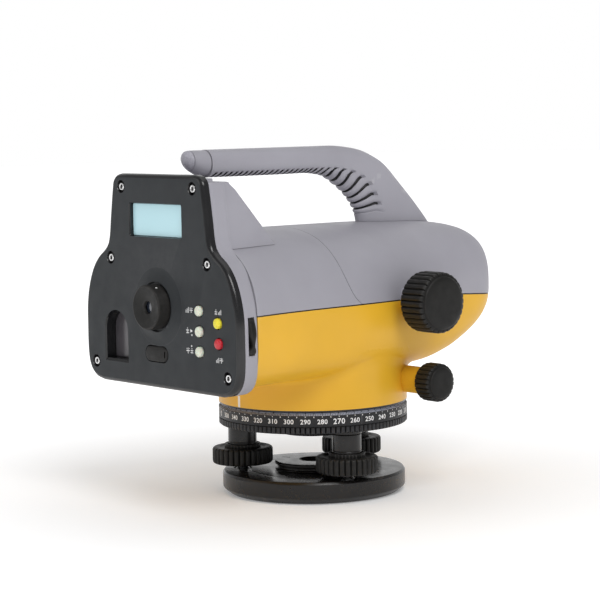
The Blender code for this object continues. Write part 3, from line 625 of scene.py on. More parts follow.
def tribrach_body():
    """Disc inside the circle, with the bearing's hub below it and an ear over each foot post."""
    low, high = node_box("tribrach_body")
    under, ear_top = node_box("foot_post_1")[1].z + 0.3, CIRCLE_LOW - 0.3
    profile = (
        (11.3, high.z), (34.0, high.z), (35.6, high.z - 0.6), (35.6, under + 0.6), (35.0, under), (24.5, under),
        (22.0, under - 1.2), (20.4, low.z + 1.2), (18.8, low.z), (11.3, low.z),
    )
    piece = turned("tribrach_body_fine", profile, ENAMEL, sides=160, fillet=0.5)
    for foot in FEET.values():
        ear = turned("ear", ((0, under), (8.6, under), (8.6, ear_top), (0, ear_top)), None, (foot.x, foot.y, 0),
                     sides=80, fillet=0.4)
        carve(piece, ear, operation="UNION")
        carve(piece, rod("well", 4.4, 34.0, 45.0, at=(foot.x, foot.y, 0)))
    ready(shade(piece), "tribrach", "black_enamel", "tribrach_body")


# Horizontal circle -------------------------------------------
NUMBER_AT_ZERO = 245.1      # bearing of figure 0, in degrees from +X; figures rise clockwise seen from above
KNURLS = 120


def circle_ring():
    """Ring with a knurled grip below, a black band for the figures, and a light bevelled scale on top."""
    band_low, band_high = CIRCLE_LOW + 4.1, CIRCLE_HIGH - 1.7
    sides, deep = KNURLS * 10, 0.95

    def knurl(angle, radius, height):
        if radius < CIRCLE_RADIUS - 1.0 or not CIRCLE_LOW + 0.35 < height < band_low - 0.3:
            return radius
        phase = (angle * KNURLS / (2 * pi)) % 1.0
        return radius - deep * (1 - min(1.0, abs(sin(pi * phase)) * 1.45))

    radius = CIRCLE_RADIUS
    profile = (
        (36.0, CIRCLE_HIGH), (radius - 1.6, CIRCLE_HIGH), (radius - 0.25, band_high + 0.2), (radius, band_high),
        (radius, band_low + 0.2), (radius - 0.65, band_low), (radius - 0.65, band_low - 0.25),
        (radius, band_low - 0.45), (radius, CIRCLE_LOW + 0.7), (radius - 0.7, CIRCLE_LOW), (36.0, CIRCLE_LOW),
    )
    piece = turned("circle_ring_fine", profile, ANODISED, sides=sides, fillet=0, wobble=knurl)
    ready(piece, "circle", "circle_black", "circle_ring")
    scale_strip(band_high)
    ticks_and_figures(band_low, band_high)


def on_ring(angle, height, out):
    """A point on the ring's side. angle is in degrees."""
    reach = CIRCLE_RADIUS + out
    return (cos(radians(angle)) * reach, sin(radians(angle)) * reach, height)


def degrees_along(length):
    """The angle that a length takes up on the ring's side."""
    return degrees(length / CIRCLE_RADIUS)


def bricks(name, corners, material):
    """Small blocks in one piece, from eight corners each: low or high, then either side, then in or out."""
    sides = ((0, 1, 3, 2), (4, 6, 7, 5), (0, 4, 5, 1), (2, 3, 7, 6), (1, 5, 7, 3), (0, 2, 6, 4))
    faces = [tuple(start + i for i in side) for start in range(0, len(corners), 8) for side in sides]
    return make(name, corners, faces, material)


def scale_strip(band_high):
    """The light bevel between the band and the top of the ring, with a dark line at each degree."""
    low_radius, low = CIRCLE_RADIUS - 0.20, band_high + 0.22
    high_radius, high = CIRCLE_RADIUS - 1.52, CIRCLE_HIGH - 0.02
    lift = 0.05
    profile = (
        (high_radius - 1.2, high - 0.25), (high_radius - 1.2, high + lift * 0.2), (high_radius, high + lift * 0.2),
        (low_radius + lift, low), (low_radius - 0.5, low - 0.05),
    )
    piece = turned("circle_scale", profile, SCALE_GREY, sides=360, fillet=0)
    ready(piece, "circle", "circle_black")
    corners = []
    for degree in range(360):
        half = 0.16 if degree % 5 else 0.24
        reach = 0.62 if degree % 5 else (0.85 if degree % 10 else 1.0)
        for slope in (0.02 / (high - low), 0.02 / (high - low) + reach):
            height, radius = low + (high - low) * slope, low_radius + (high_radius - low_radius) * slope
            for side in (-half, half):
                for depth in (-0.05, 0.10):
                    corners.append(on_ring(NUMBER_AT_ZERO - degree + degrees_along(side),
                                           height + max(0.0, depth) * 0.4, radius + depth - CIRCLE_RADIUS))
    ready(bricks("circle_degree_lines", corners, ANODISED), "circle", "circle_black")


def ticks_and_figures(band_low, band_high):
    """White ticks every five degrees and a white figure every ten, raised a hair from the band."""
    top, half = band_high - 0.05, 0.17
    corners = []
    for degree in range(0, 360, 5):
        length = 0.8 if degree % 10 else 0.55
        for height in (top, top - length):
            for side in (-half, half):
                for out in (-0.05, 0.06):
                    corners.append(on_ring(NUMBER_AT_ZERO - degree + degrees_along(side), height, out))
    ready(bricks("circle_ticks", corners, WHITE), "circle", "circle_black")
    figures = []
    for number in range(0, 360, 10):
        size = 4.3 if number % 90 == 0 else 3.65
        height = (band_low + band_high - 0.7 * size) / 2
        figures.append(figure(str(number), NUMBER_AT_ZERO - number, height, size))
    ready(joined("circle_figures", figures), "circle", "circle_black")


def figure(text, angle, height, size):
    """A number wrapped onto the side of the ring."""
    curve = bpy.data.curves.new("figure", "FONT")
    curve.body = text
    curve.align_x = "CENTER"
    curve.size = size
    curve.space_character = 1.06
    curve.extrude = 0.055
    curve.offset = 0.055
    curve.resolution_u = 3
    holder = linked("figure", curve)
    graph = bpy.context.evaluated_depsgraph_get()
    mesh = bpy.data.meshes.new_from_object(holder.evaluated_get(graph))
    bpy.data.objects.remove(holder, do_unlink=True)
    for vertex in mesh.vertices:
        x, y, z = vertex.co
        point = on_ring(angle + degrees_along(1.02 * x), height + y, z)
        vertex.co = Vector(point) * MM
    mesh.materials.clear()
    mesh.materials.append(WHITE)
    return linked("figure", mesh)


# Body shells -------------------------------------------------
# Place along Y, half width, crown, underside, height of the widest line, roundness above and below it.
BODY_SECTIONS = (
    (-93.0, 66.5, 151.6, 68.9, 103.0, 2.75, 4.6),
    (-70.0, 62.6, 152.0, 69.3, 103.0, 2.7, 4.6),
    (-51.0, 60.5, 152.2, 69.6, 103.0, 2.6, 4.6),
    (-12.0, 58.4, 152.3, 70.0, 103.0, 2.5, 4.6),
    (24.0, 54.4, 152.3, 70.2, 103.0, 2.5, 4.6),
    (50.0, 49.6, 152.0, 71.0, 103.5, 2.6, 4.4),
    (70.0, 46.4, 151.4, 74.4, 105.5, 2.8, 4.0),
    (85.0, 44.2, 150.2, 79.2, 108.5, 3.0, 3.5),
    (97.0, 41.8, 148.0, 84.4, 111.5, 3.0, 3.1),
    (104.0, 38.9, 144.8, 88.6, 113.0, 3.0, 2.8),
    (108.0, 35.2, 140.6, 92.6, 113.6, 2.8, 2.6),
    (110.2, 30.2, 135.8, 97.0, 114.0, 2.6, 2.4),
)


def signed_power(value, power):
    return abs(value) ** power * (1 if value >= 0 else -1)


def smooth_curve(knots, rows):
    """A function that runs smoothly through rows of values at the knots, without overshooting them."""
    knots, rows = np.array(knots, float), np.array(rows, float)
    steps = np.diff(knots)
    slopes = np.diff(rows, axis=0) / steps[:, None]
    tangents = np.zeros_like(rows)
    tangents[0], tangents[-1] = slopes[0], slopes[-1]
    for i in range(1, len(knots) - 1):
        before, after = slopes[i - 1], slopes[i]
        first, second = 2 * steps[i] + steps[i - 1], steps[i] + 2 * steps[i - 1]
        same = before * after > 0
        safe_before, safe_after = np.where(same, before, 1.0), np.where(same, after, 1.0)
        tangents[i] = np.where(same, (first + second) / (first / safe_before + second / safe_after), 0.0)

    def at(place):
        i = int(np.clip(np.searchsorted(knots, place) - 1, 0, len(steps) - 1))
        t = min(1.0, max(0.0, (place - knots[i]) / steps[i]))
        a, b = 2 * t ** 3 - 3 * t ** 2 + 1, t ** 3 - 2 * t ** 2 + t
        c, d = -2 * t ** 3 + 3 * t ** 2, t ** 3 - t ** 2
        return a * rows[i] + b * steps[i] * tangents[i] + c * rows[i + 1] + d * steps[i] * tangents[i + 1]

    return at


BODY_REAR, BODY_FRONT = BODY_SECTIONS[0][0], BODY_SECTIONS[-1][0]
body_at = smooth_curve([s[0] for s in BODY_SECTIONS], [s[1:] for s in BODY_SECTIONS])


def quarter(width, reach, roundness, count):
    """A quarter of a rounded section, from (width, 0) to (0, reach), in even steps along it."""
    angle = np.linspace(0, pi / 2, 241)
    across = width * np.cos(angle).clip(0) ** (2 / roundness)
    up = reach * np.sin(angle).clip(0) ** (2 / roundness)
    run = np.concatenate([[0], np.cumsum(np.hypot(np.diff(across), np.diff(up)))])
    even = np.linspace(0, run[-1], count + 1)
    return np.interp(even, run, across), np.interp(even, run, up)


def body_ring(y, inset, count, place=None):
    """The section at y, drawn in by inset. place puts it elsewhere along Y."""
    width, crown, under, middle, upper, lower = body_at(y)
    top = quarter(width - inset, crown - middle - inset, upper, count)
    low = quarter(width - inset, middle - under - inset, lower, count)
    ring = []
    for (across, up), side, sign in ((top, 1, 1), (top, -1, 1), (low, -1, -1), (low, 1, -1)):
        order = range(count) if side * sign > 0 else range(count, 0, -1)
        ring += [(side * across[i], y if place is None else place, middle + sign * up[i]) for i in order]
    return ring


BODY_STATIONS = (
    *np.linspace(BODY_REAR, 60.0, 44), *np.linspace(62.0, 103.0, 26), *np.linspace(103.8, BODY_FRONT, 14),
)
HOLLOW_STATIONS = (
    BODY_REAR, -70.0, -51.0, -12.0, 24.0, 50.0, 62.0, 70.0, 78.0, 85.0, 91.0, 97.0, 101.0, 104.5, 107.2,
)


def body_form(name, inset, rear=BODY_REAR, material=None, count=34, stations=BODY_STATIONS):
    """The body as a solid, grown where inset is negative. rear extends its first section backwards."""
    rings = [body_ring(BODY_REAR, inset, count, rear)] if rear < BODY_REAR else []
    return skin(name, rings + [body_ring(y, inset, count) for y in stations], material)


def hollow():
    """The room inside both shells."""
    return body_form("hollow", WALL, -99.0, count=16, stations=HOLLOW_STATIONS)


def side_bore(radius, low, high, at):
    """A cutter along X, through a joint's axis."""
    return rod("bore", radius, low, high, (0, at.y, at.z), TO_X, sides=40)


def split_block(upper, clearance=0.36):
    """All that lies above the line between the shells, or below it."""
    bend, nose, drop, rear, side = 60.0, 125.0, 4.5, -130.0, 110.0
    line, far = (SPLIT - clearance, 230.0) if upper else (SPLIT + clearance, -20.0)
    outline = [(rear, line), (bend, line), (nose, line - drop), (nose, far), (rear, far)]
    rings = [[(x, y, z) for y, z in outline] for x in (-side, side)]
    return skin("split_block", rings, None)


def body_under(y, x):
    """Height of the body's underside at a place on the plan."""
    width, _, under, middle, _, lower = body_at(y)
    across = min(0.9999, abs(x) / width)
    return middle - (middle - under) * (1 - across ** lower) ** (1 / lower)


DRUM_SHADE_BAND = 0.9         # height of the band of painted shade round the bottom of the drum, for the shadowed gap above the circle


def drum_skirt():
    """The drum below the body, with the hollow curve that blends it into the underside."""
    rings, sides, radius, bottom = [], 288, CIRCLE_RADIUS, DRUM_BOTTOM
    down, out, step, spare = 4.2, 5.0, 0.4, 0.6
    for i in range(sides):
        c, s = cos(2 * pi * i / sides), sin(2 * pi * i / sides)
        seam = min(84.0, body_under(radius * s, radius * c))
        reach = out
        while reach > spare and abs((radius + reach) * c) > body_at((radius + reach) * s)[0] - spare:
            reach -= step
        end = body_under((radius + reach) * s, (radius + reach) * c)
        start, corner = Vector((radius, seam - down)), Vector((radius, seam))
        finish = Vector((radius + reach, end + 0.03))
        profile = [(radius - 0.5, bottom), (radius - 0.1, bottom + 0.15), (radius, bottom + DRUM_SHADE_BAND),
                   (radius, (bottom + start.y) / 2)]
        for k in range(9):
            t = k / 8
            profile.append(tuple(start * (1 - t) ** 2 + corner * 2 * t * (1 - t) + finish * t * t))
        profile += [(radius + reach, end + 2.2), (radius - 3.0, end + 4.0), (radius - 4.0, bottom)]
        rings.append([(c * r, s * r, h) for r, h in profile])
    solid = skin("drum_skirt", [*rings, rings[0]], None, caps=False)
    outward(solid.data, SAME_POINT)
    return carve(solid, rod("drum_floor", radius - 3.6, bottom, 74.0, sides=144), operation="UNION")


def boss(radius, low, high, at):
    """A round boss along X, on a joint's axis, with a softened rim."""
    profile = ((0, low), (0, high), (radius, high), (radius, low))
    return turned("boss", profile, None, (0, at.y, at.z), TO_X, 96, fillet=0.7)


def objective_hole():
    return rod("objective_hole", 20.0, -125.0, -90.0, at=(0, 0, SIGHT), turn=TO_Y, sides=96)


def lower_shell():
    """Yellow tub with its drum, the bosses of the knobs, and the opening for the battery."""
    piece = body_form("lower_shell_fine", 0.0, material=YELLOW)
    carve(piece, drum_skirt(), boss(8.2, 44.0, 60.6, FOCUS_AT), boss(7.6, -61.4, -40.0, TANGENT_AT),
          boss(7.6, 40.0, 61.4, TANGENT_AT), operation="UNION")
    carve(piece, hollow(), rod("drum_inside", CIRCLE_RADIUS - WALL, DRUM_BOTTOM + WALL, 90.0, sides=144))
    carve(piece, rod("spindle_hub", 15.5, DRUM_BOTTOM + 1.0, 61.5), operation="UNION")
    carve(piece, split_block(True), objective_hole(), side_bore(4.3, 38.0, 70.0, FOCUS_AT),
          side_bore(3.3, -70.0, 70.0, TANGENT_AT), rod("seat", 11.3, 48.0, 60.0),
          soft_block("battery_opening", (-80, -58.0, 81.0), (-50, -6.0, 105.0), 2.2))
    # The drum's lowest band takes the black rim colour: painted shade for the shadowed gap between the drum and the
    # circle.
    piece.data.materials.append(RIM_AND_DRUM_SHADE)
    painted_shade_below = (DRUM_BOTTOM + DRUM_SHADE_BAND + 0.05) * MM
    for face in piece.data.polygons:
        top = max(piece.data.vertices[v].co.z for v in face.vertices)
        face.material_index = int(top < painted_shade_below)
    ready(shade(piece, 30), "housing", "yellow", "lower_shell")


def upper_shell():
    """Grey cover, with a dark strip in the line between the shells as painted shade for the gap."""
    piece = body_form("upper_shell_fine", 0.0, material=GREY)
    carve(piece, boss(8.2, 44.0, 60.6, FOCUS_AT), operation="UNION")
    carve(piece, hollow(), split_block(False), objective_hole(), side_bore(4.3, 38.0, 70.0, FOCUS_AT), seam_tool())
    ready(shade(piece, 30), "housing", "grey", "upper_shell")
    # A thin dark strip just inside the line between the shells: painted shade that stands for the shadowed gap.
    gap_shade = body_form("shell_gap_shade", 0.4, material=RUBBER)
    carve(gap_shade, split_block(True, -0.5), split_block(False, -0.5), hollow())
    ready(shade(gap_shade, 30), "housing", "black_rubber")


def battery_door():
    """Flush door in the left side, with a finger notch at its upper edge, and the index mark of the circle."""
    piece = body_form("battery_door_fine", 0.0, material=YELLOW)
    carve(piece, hollow())
    carve(piece, soft_block("door_block", (-80, -57.6, 81.4), (-50, -6.4, 104.4), 1.9), operation="INTERSECT")
    carve(piece, rod("finger_notch", 5.5, -70.0, -59.6, at=(0, -32.0, 99.0), turn=TO_X))
    ready(shade(piece, 30), "battery_hatch", "yellow", "battery_door")
    index = block("index_mark", (-0.9, -CIRCLE_RADIUS - 0.05, DRUM_BOTTOM + 1.0),
                  (0.9, -CIRCLE_RADIUS + 0.4, DRUM_BOTTOM + 7.3), WHITE)
    ready(index, "housing", "yellow")


def soft_block(name, low, high, radius):
    """A block along X whose YZ outline has round corners."""
    (x0, y0, z0), (x1, y1, z1) = low, high
    outline = filleted([(y0, z0), (y1, z0), (y1, z1), (y0, z1)], radius)
    return skin(name, [[(x, y, z) for y, z in outline] for x in (x0, x1)], None)


def seam_tool():
    """Thin groove that arcs from near the crown down to the line between the shells, on both sides."""
    steps, half, side = 24, 0.16, 90.0
    path = []
    for k in range(steps + 1):
        angle = pi / 2 * k / steps
        path.append((-24.0 + 14.5 * (1 - cos(angle)) - 1.5 * sin(2 * angle), 152.6 - 42.0 * sin(angle)))
    rings = []
    for i, (y, z) in enumerate(path):
        ahead = Vector(path[min(i + 1, steps)]) - Vector(path[max(i - 1, 0)])
        off = Vector((ahead.y, -ahead.x)).normalized() * half
        rings.append([(-side, y + off.x, z + off.y), (side, y + off.x, z + off.y),
                      (side, y - off.x, z - off.y), (-side, y - off.x, z - off.y)])
    return carve(skin("seam", rings, None), body_form("seam_floor", 0.38, count=24))


# Rear frame, pylon and panel ---------------------------------
# Half of the rear outline, from the top centre down the +X side to the bottom centre.
REAR_OUTLINE = (
    (33.5, 184.6), (37.6, 183.5), (40.4, 180.6), (41.4, 176.5), (43.9, 160.9), (45.6, 149.6), (47.0, 145.8),
    (50.0, 142.6), (56.0, 138.4), (61.0, 133.0), (64.8, 126.0), (67.4, 118.0), (68.7, 110.0), (69.0, 100.0),
    (68.9, 86.0), (67.8, 78.5), (65.2, 73.6), (60.6, 70.2), (54.0, 68.7),
)


def rounded_path(points):
    """A smooth path through the points, by centripetal splines."""
    per_span = 6
    points = [Vector(p) for p in points]
    points = [points[0] * 2 - points[1], *points, points[-1] * 2 - points[-2]]
    path = []
    for a, b, c, d in zip(points, points[1:], points[2:], points[3:]):
        t1 = (b - a).length ** 0.5
        t2 = t1 + (c - b).length ** 0.5
        t3 = t2 + (d - c).length ** 0.5
        for k in range(per_span):
            t = t1 + (t2 - t1) * k / per_span
            ab, bc, cd = a.lerp(b, t / t1), b.lerp(c, (t - t1) / (t2 - t1)), c.lerp(d, (t - t2) / (t3 - t2))
            low, high = ab.lerp(bc, t / t2), bc.lerp(cd, (t - t1) / (t3 - t1))
            path.append(low.lerp(high, (t - t1) / (t2 - t1)))
    return path + [points[-2]]


HALF_OUTLINE = rounded_path(REAR_OUTLINE)


def rear_outline(inset=0.0, waist=0.0, top=None):
    """The whole rear outline, drawn in along its normals. waist narrows it below the shoulder."""
    shoulder, taper = 145.0, 15.0
    right = []
    for i, point in enumerate(HALF_OUTLINE):
        ahead = HALF_OUTLINE[min(i + 1, len(HALF_OUTLINE) - 1)] - HALF_OUTLINE[max(i - 1, 0)]
        normal = Vector((-ahead.y, ahead.x)).normalized()
        if i == 0:
            normal = Vector((0, 1))
        if i == len(HALF_OUTLINE) - 1:
            normal = Vector((0, -1))
        spot = point - normal * inset
        narrow = 1 - waist * min(1.0, max(0.0, (shoulder - spot.y) / taper))
        right.append((spot.x * narrow, min(spot.y, top) if top else spot.y))
    bottom = [(right[-1][0] * (1 - k / 6), right[-1][1]) for k in range(1, 6)]
    upper = [(right[0][0] * k / 6, right[0][1]) for k in range(0, 6)]
    half = upper + right + bottom
    return half + [(-x, z) for x, z in reversed(half) if x > 1e-6]


def pylon():
    """Wedge behind the upper panel, with its upright edges and its top edge rounded."""
    low, high, edge = 130.0, PYLON_TOP, 1.2
    rings = []
    for k in range(13):
        t = k / 12
        half, slim, front = 48.6 + (40.3 - 48.6) * t, 39.5 + (39.6 - 39.5) * t, -43.5 + (-88.0 + 43.5) * t
        corners = [(-half, FRAME_REAR + 2), (half, FRAME_REAR + 2), (slim, front), (-slim, front)]
        rings.append([(x, y, low + (high - low) * t) for x, y in filleted(corners, 2.4, steps=5)])
    last = rings.pop()
    for k in range(5):
        angle = pi / 2 * k / 4
        shrink = edge * (1 - cos(angle))
        rings.append([(x * (1 - shrink / 40.0), y + (shrink if y < -94 else -shrink), high - edge + edge * sin(angle))
                      for x, y, _ in last])
    return skin("pylon", rings, None)


def rear_frame():
    """Grey band between the panel and the shells, in one with the pylon."""
    rings = []
    for k in range(9):
        t = k / 8
        y = FRAME_REAR + (SHELL_REAR - 0.3 - FRAME_REAR) * t
        inset = 0.45 * (1 - min(1.0, t * 8)) + 0.35 * max(0.0, t * 8 - 7)
        rings.append([(x, y, z) for x, z in rear_outline(inset, 0.036 * t, PYLON_TOP - 0.2)])
    piece = skin("rear_frame_fine", rings, GREY)
    carve(piece, pylon(), soft_saddle(), operation="UNION")
    carve(piece, plate("room", rear_outline(4.0, top=PYLON_TOP - 2.6), -110.0, -96.0, None),
          block("pylon_room", (-31.0, -97.0, 140.0), (31.0, -90.5, 174.0), None),
          body_form("frame_opening", 3.2, -120.0, count=16), body_form("shell_clearance", -0.3, -93.15, count=28),
          block("port_slot", (60.0, -101.0, 91.0), (80.0, -95.8, 111.0), None))
    ready(shade(piece, 30), "housing", "grey", "rear_frame")


def soft_saddle():
    """The rest under the handle's end, with a web down to the pylon."""
    outline = filleted([(-97.0, 175.0), (-88.0, 168.0), (-74.0, 178.6), (-74.0, 181.3), (-97.0, 181.3)], 0.8)
    return skin("saddle", [[(x, y, z) for y, z in outline] for x in (-6.0, 6.0)], None)


SCREWS = [centre(f"panel_screw_{number}") for number in range(1, 7)]
KEYS = {f"button_{name}": f"key_{name}" for name in ("white_1", "white_2", "white_3", "yellow", "red")}
EYE = Vector((0, 0, SIGHT))
WINDOW_LOW, WINDOW_HIGH = node_box("bubble_window")
COVER_LOW, COVER_HIGH = node_box("reticle_cover")
DISPLAY_LOW, DISPLAY_HIGH = node_box("display_window")


def arch(half, extra_floor=0.0):
    """Outline of the level's window: straight sides under a half circle."""
    middle = (WINDOW_LOW.x + WINDOW_HIGH.x) / 2
    floor, spring = 81.8 - extra_floor, 98.2
    points = [(middle - half, floor), (middle + half, floor)]
    return points + [(middle + half * cos(pi * k / 24), spring + half * sin(pi * k / 24)) for k in range(25)]


def stadium(radius):
    """Outline of the oval cover under the eyepiece."""
    middle = (COVER_LOW + COVER_HIGH) / 2
    flat = (COVER_HIGH.x - COVER_LOW.x - COVER_HIGH.z + COVER_LOW.z) / 2
    points = []
    for side, start in ((1, -90), (-1, 90)):
        for k in range(17):
            angle = radians(start + 180 * k / 16)
            points.append((middle.x + side * flat + radius * cos(angle), middle.z + radius * sin(angle)))
    return points


def flare(outline, bend, grow):
    """A cutter through the panel whose XZ outline widens by grow, over the last bend before the face."""
    middle_x = sum(x for x, z in outline) / len(outline)
    middle_z = sum(z for x, z in outline) / len(outline)
    half = max(x for x, z in outline) - middle_x
    rings = []
    places = (PANEL_BACK + 4.7, PANEL_FACE + bend, PANEL_FACE - 0.1, PANEL_FACE - 6.7)
    for y, wider in zip(places, (0.0, 0.0, grow, grow)):
        scale = 1 + wider / half
        rings.append([(middle_x + (x - middle_x) * scale, y, middle_z + (z - middle_z) * scale) for x, z in outline])
    return skin("flare", rings, None)


def screen_outline(grow):
    """Outline of the display with rounded corners, widened by grow."""
    low, high = DISPLAY_LOW, DISPLAY_HIGH
    corners = [(low.x - grow, low.z - grow), (high.x + grow, low.z - grow), (high.x + grow, high.z + grow),
               (low.x - grow, high.z + grow)]
    return filleted(corners, 1.2 + max(0.0, grow) * 0.6, steps=5)


def on_panel(name, spot, profile, material=None, sides=48, fillet=0.0, wobble=None):
    """A turned piece that stands on the panel at a spot. Its heights are measured from the panel's face."""
    outline = [(radius, height - PANEL_FACE) for radius, height in profile]
    return turned(name, outline, material, (spot.x, 0, spot.z), TO_Y, sides, fillet, wobble)


def rear_panel():
    """Charcoal panel with rounded edges, wells for the screws, and openings for all that sits in it."""
    edge, steps, rim = 2.6, 8, 0.12
    rings = [[(x, PANEL_BACK, z) for x, z in rear_outline()]]
    for k in range(steps + 1):
        angle = pi / 2 * k / steps
        y = PANEL_FACE + edge * (1 - sin(angle))
        rings.append([(x, y, z) for x, z in rear_outline(edge * (1 - cos(angle)))])
    piece = skin("rear_panel_fine", rings, PANEL)
    eye_hole = ((0, -8.3), (0, 1.7), (9.5, 1.7), (9.5, -8.3))
    carve(piece, flare(screen_outline(0.25), 0.7, 0.5), on_panel("hole", EYE, eye_hole, sides=72),
          flare(arch(10.4), 0.9, 0.8), flare(stadium(4.5), 0.4, 0.3))
    for spot in SCREWS:
        carve(piece, on_panel("well", spot, ((0, -2.3), (3.1, -2.3), (3.3, -0.5), (3.6, 0.05), (3.6, 1.7), (0, 1.7))))
    for key in KEYS:
        hole = ((0, -8.3), (3.1, -8.3), (3.1, -0.4), (3.4, 0.05), (3.4, 1.7), (0, 1.7))
        carve(piece, on_panel("hole", centre(key), hole))
    piece.data.materials.append(RIM_AND_DRUM_SHADE)
    for face in piece.data.polygons:
        face.material_index = int(face.center.y / MM > PANEL_FACE + rim)
    ready(shade(piece, 30), "housing", "panel_black", "rear_panel")


def screws_and_keys():
    """Screws with a dark disc of painted shade in each socket, and the five domed keys."""
    head = ((0.0, -2.0), (0.0, -1.4), (1.1, -1.4), (1.15, -0.5), (1.35, -0.3), (1.85, -0.3), (2.1, -0.6), (2.1, -2.0))
    # A thin black disc on the floor of each socket: painted shade for the dark recess of the screw.
    socket = ((0, -1.38), (0, -1.3), (1.12, -1.3), (1.12, -1.38))
    for number, spot in enumerate(SCREWS, 1):
        ready(on_panel(f"panel_screw_{number}_fine", spot, head, BRIGHT, fillet=0.08), "housing", "steel",
              f"panel_screw_{number}")
        ready(on_panel(f"screw_socket_shade_{number}", spot, socket, RUBBER, 24), "housing", "black_rubber")
    radius, rise, flange = 2.8, 1.4, 3.9
    dome = [(radius * cos(pi / 2 * k / 10) ** 0.8, 0.6 + rise * sin(pi / 2 * k / 10)) for k in range(10)]
    profile = [(0.0, 0.6 + rise), *reversed(dome), (radius, -5.3), (flange, -5.3), (flange, -6.3), (0.0, -6.3)]
    for key, body in KEYS.items():
        look = {"button_yellow": KEY_YELLOW, "button_red": KEY_RED}.get(key, KEY_WHITE)
        piece = on_panel(key + "_fine", centre(key), profile, look, 64)
        ready(shade(piece, 40), body, "button_white" if look == KEY_WHITE else key, key)


def panel_windows():
    """The display, the level's window with its bezel and vial, and the oval cover."""
    profile = ((0.0, 95.2), (7.6, 95.2), (8.2, 94.6), (8.2, 90.4), (7.6, 90.0), (0.0, 90.0))
    middle = centre("bubble_vial")
    vial = turned("bubble_vial_fine", profile, CLEAR, (middle.x, middle.y, 0), sides=64)
    ready(vial, "housing", "glass", "bubble_vial")
    screen = [[(x, y, z) for x, z in screen_outline(0.0)] for y in (DISPLAY_HIGH.y, DISPLAY_LOW.y)]
    ready(soften(skin("display_window_fine", screen, DISPLAY), 0.15), "housing", "display", "display_window")
    pane = plate("bubble_window_fine", arch(10.35, -0.05), WINDOW_HIGH.y, WINDOW_LOW.y, DARK_GLASS)
    ready(soften(pane, 0.3), "housing", "glass", "bubble_window")
    bezel = plate("window_bezel", arch(11.6, 1.2), PANEL_BACK + 3.1, PANEL_BACK - 0.05, RIM_AND_DRUM_SHADE)
    ready(carve(bezel, plate("opening", arch(10.4), -110.0, -99.0, None)), "housing", "panel_black")
    levels = ((5.4, 4.15), (0.1, 4.15), (-0.3, 4.0), (-0.55, 3.7), (-0.65, 3.1))
    rings = [[(x, PANEL_FACE + height, z) for x, z in stadium(radius)] for height, radius in levels]
    cover = skin("reticle_cover_fine", rings, RUBBER)
    carve(cover, block("nail_slot", (COVER_HIGH.x - 2.4, PANEL_FACE - 1.7, 85.6),
                       (COVER_HIGH.x - 1.5, PANEL_FACE + 0.1, 89.2), None))
    ready(shade(cover, 35), "reticle_cap", "black_rubber", "reticle_cover")


def marks():
    """Small printed pictograms beside the keys: bars, dots and arrows that stand for nothing in particular."""
    line, pieces = 0.2, []

    def printed(outline):
        pieces.append(plate("mark", outline, PANEL_FACE + 0.05, PANEL_FACE - 0.03, WHITE))

    def bar(x, z, half_x, half_z):
        printed([(x - half_x, z - half_z), (x + half_x, z - half_z), (x + half_x, z + half_z),
                 (x - half_x, z + half_z)])

    def dot(x, z, radius):
        printed([(x + radius * cos(pi * k / 8), z + radius * sin(pi * k / 8)) for k in range(16)])

    def arrow(x, z, size, way):
        printed([(x - way * size, z), (x + way * size, z + size), (x + way * size, z - size)])

    def steps(x, z, half):
        """Three upright bars that grow in height."""
        for k in (-1, 0, 1):
            bar(x + k * half * 0.7, z + half * (k - 1) * 0.25, line, half * (1 + (k - 1) * 0.25))

    def target(x, z, half):
        """A cross hair with a dot at its corners."""
        bar(x, z, half, line)
        bar(x, z + half * 0.6, line, half * 0.4)
        bar(x, z - half * 0.6, line, half * 0.4)
        for side in (-1, 1):
            dot(x + side * half * 0.7, z + half * 0.7, line * 1.3)

    def staff(x, z, half):
        """An upright with two rungs across it and a dot above."""
        bar(x, z - half * 0.25, line, half * 0.75)
        dot(x, z + half * 0.85, line * 1.4)
        for k in (-0.7, 0.15):
            bar(x, z + k * half, half * 0.8, line)

    first, second, third, yellow, red = (centre(key) for key in KEYS)
    far, near = first.x - 10.4, first.x - 7.0
    steps(far, first.z, 1.55)
    target(near, first.z, 1.4)
    staff(far, second.z, 1.55)
    arrow(near, second.z, 0.95, -1)
    arrow(near, second.z - 2.2, 0.6, 1)
    target(far, third.z, 1.55)
    staff(near, third.z, 1.4)
    arrow(near, third.z + 2.6, 0.6, -1)
    staff(yellow.x - 1.5, yellow.z + 5.9, 1.35)
    steps(yellow.x + 1.7, yellow.z + 5.9, 1.35)
    steps(red.x - 1.5, red.z - 8.6, 1.4)
    target(red.x + 1.7, red.z - 8.6, 1.4)
    ready(joined("panel_marks", pieces), "housing", "panel_black")


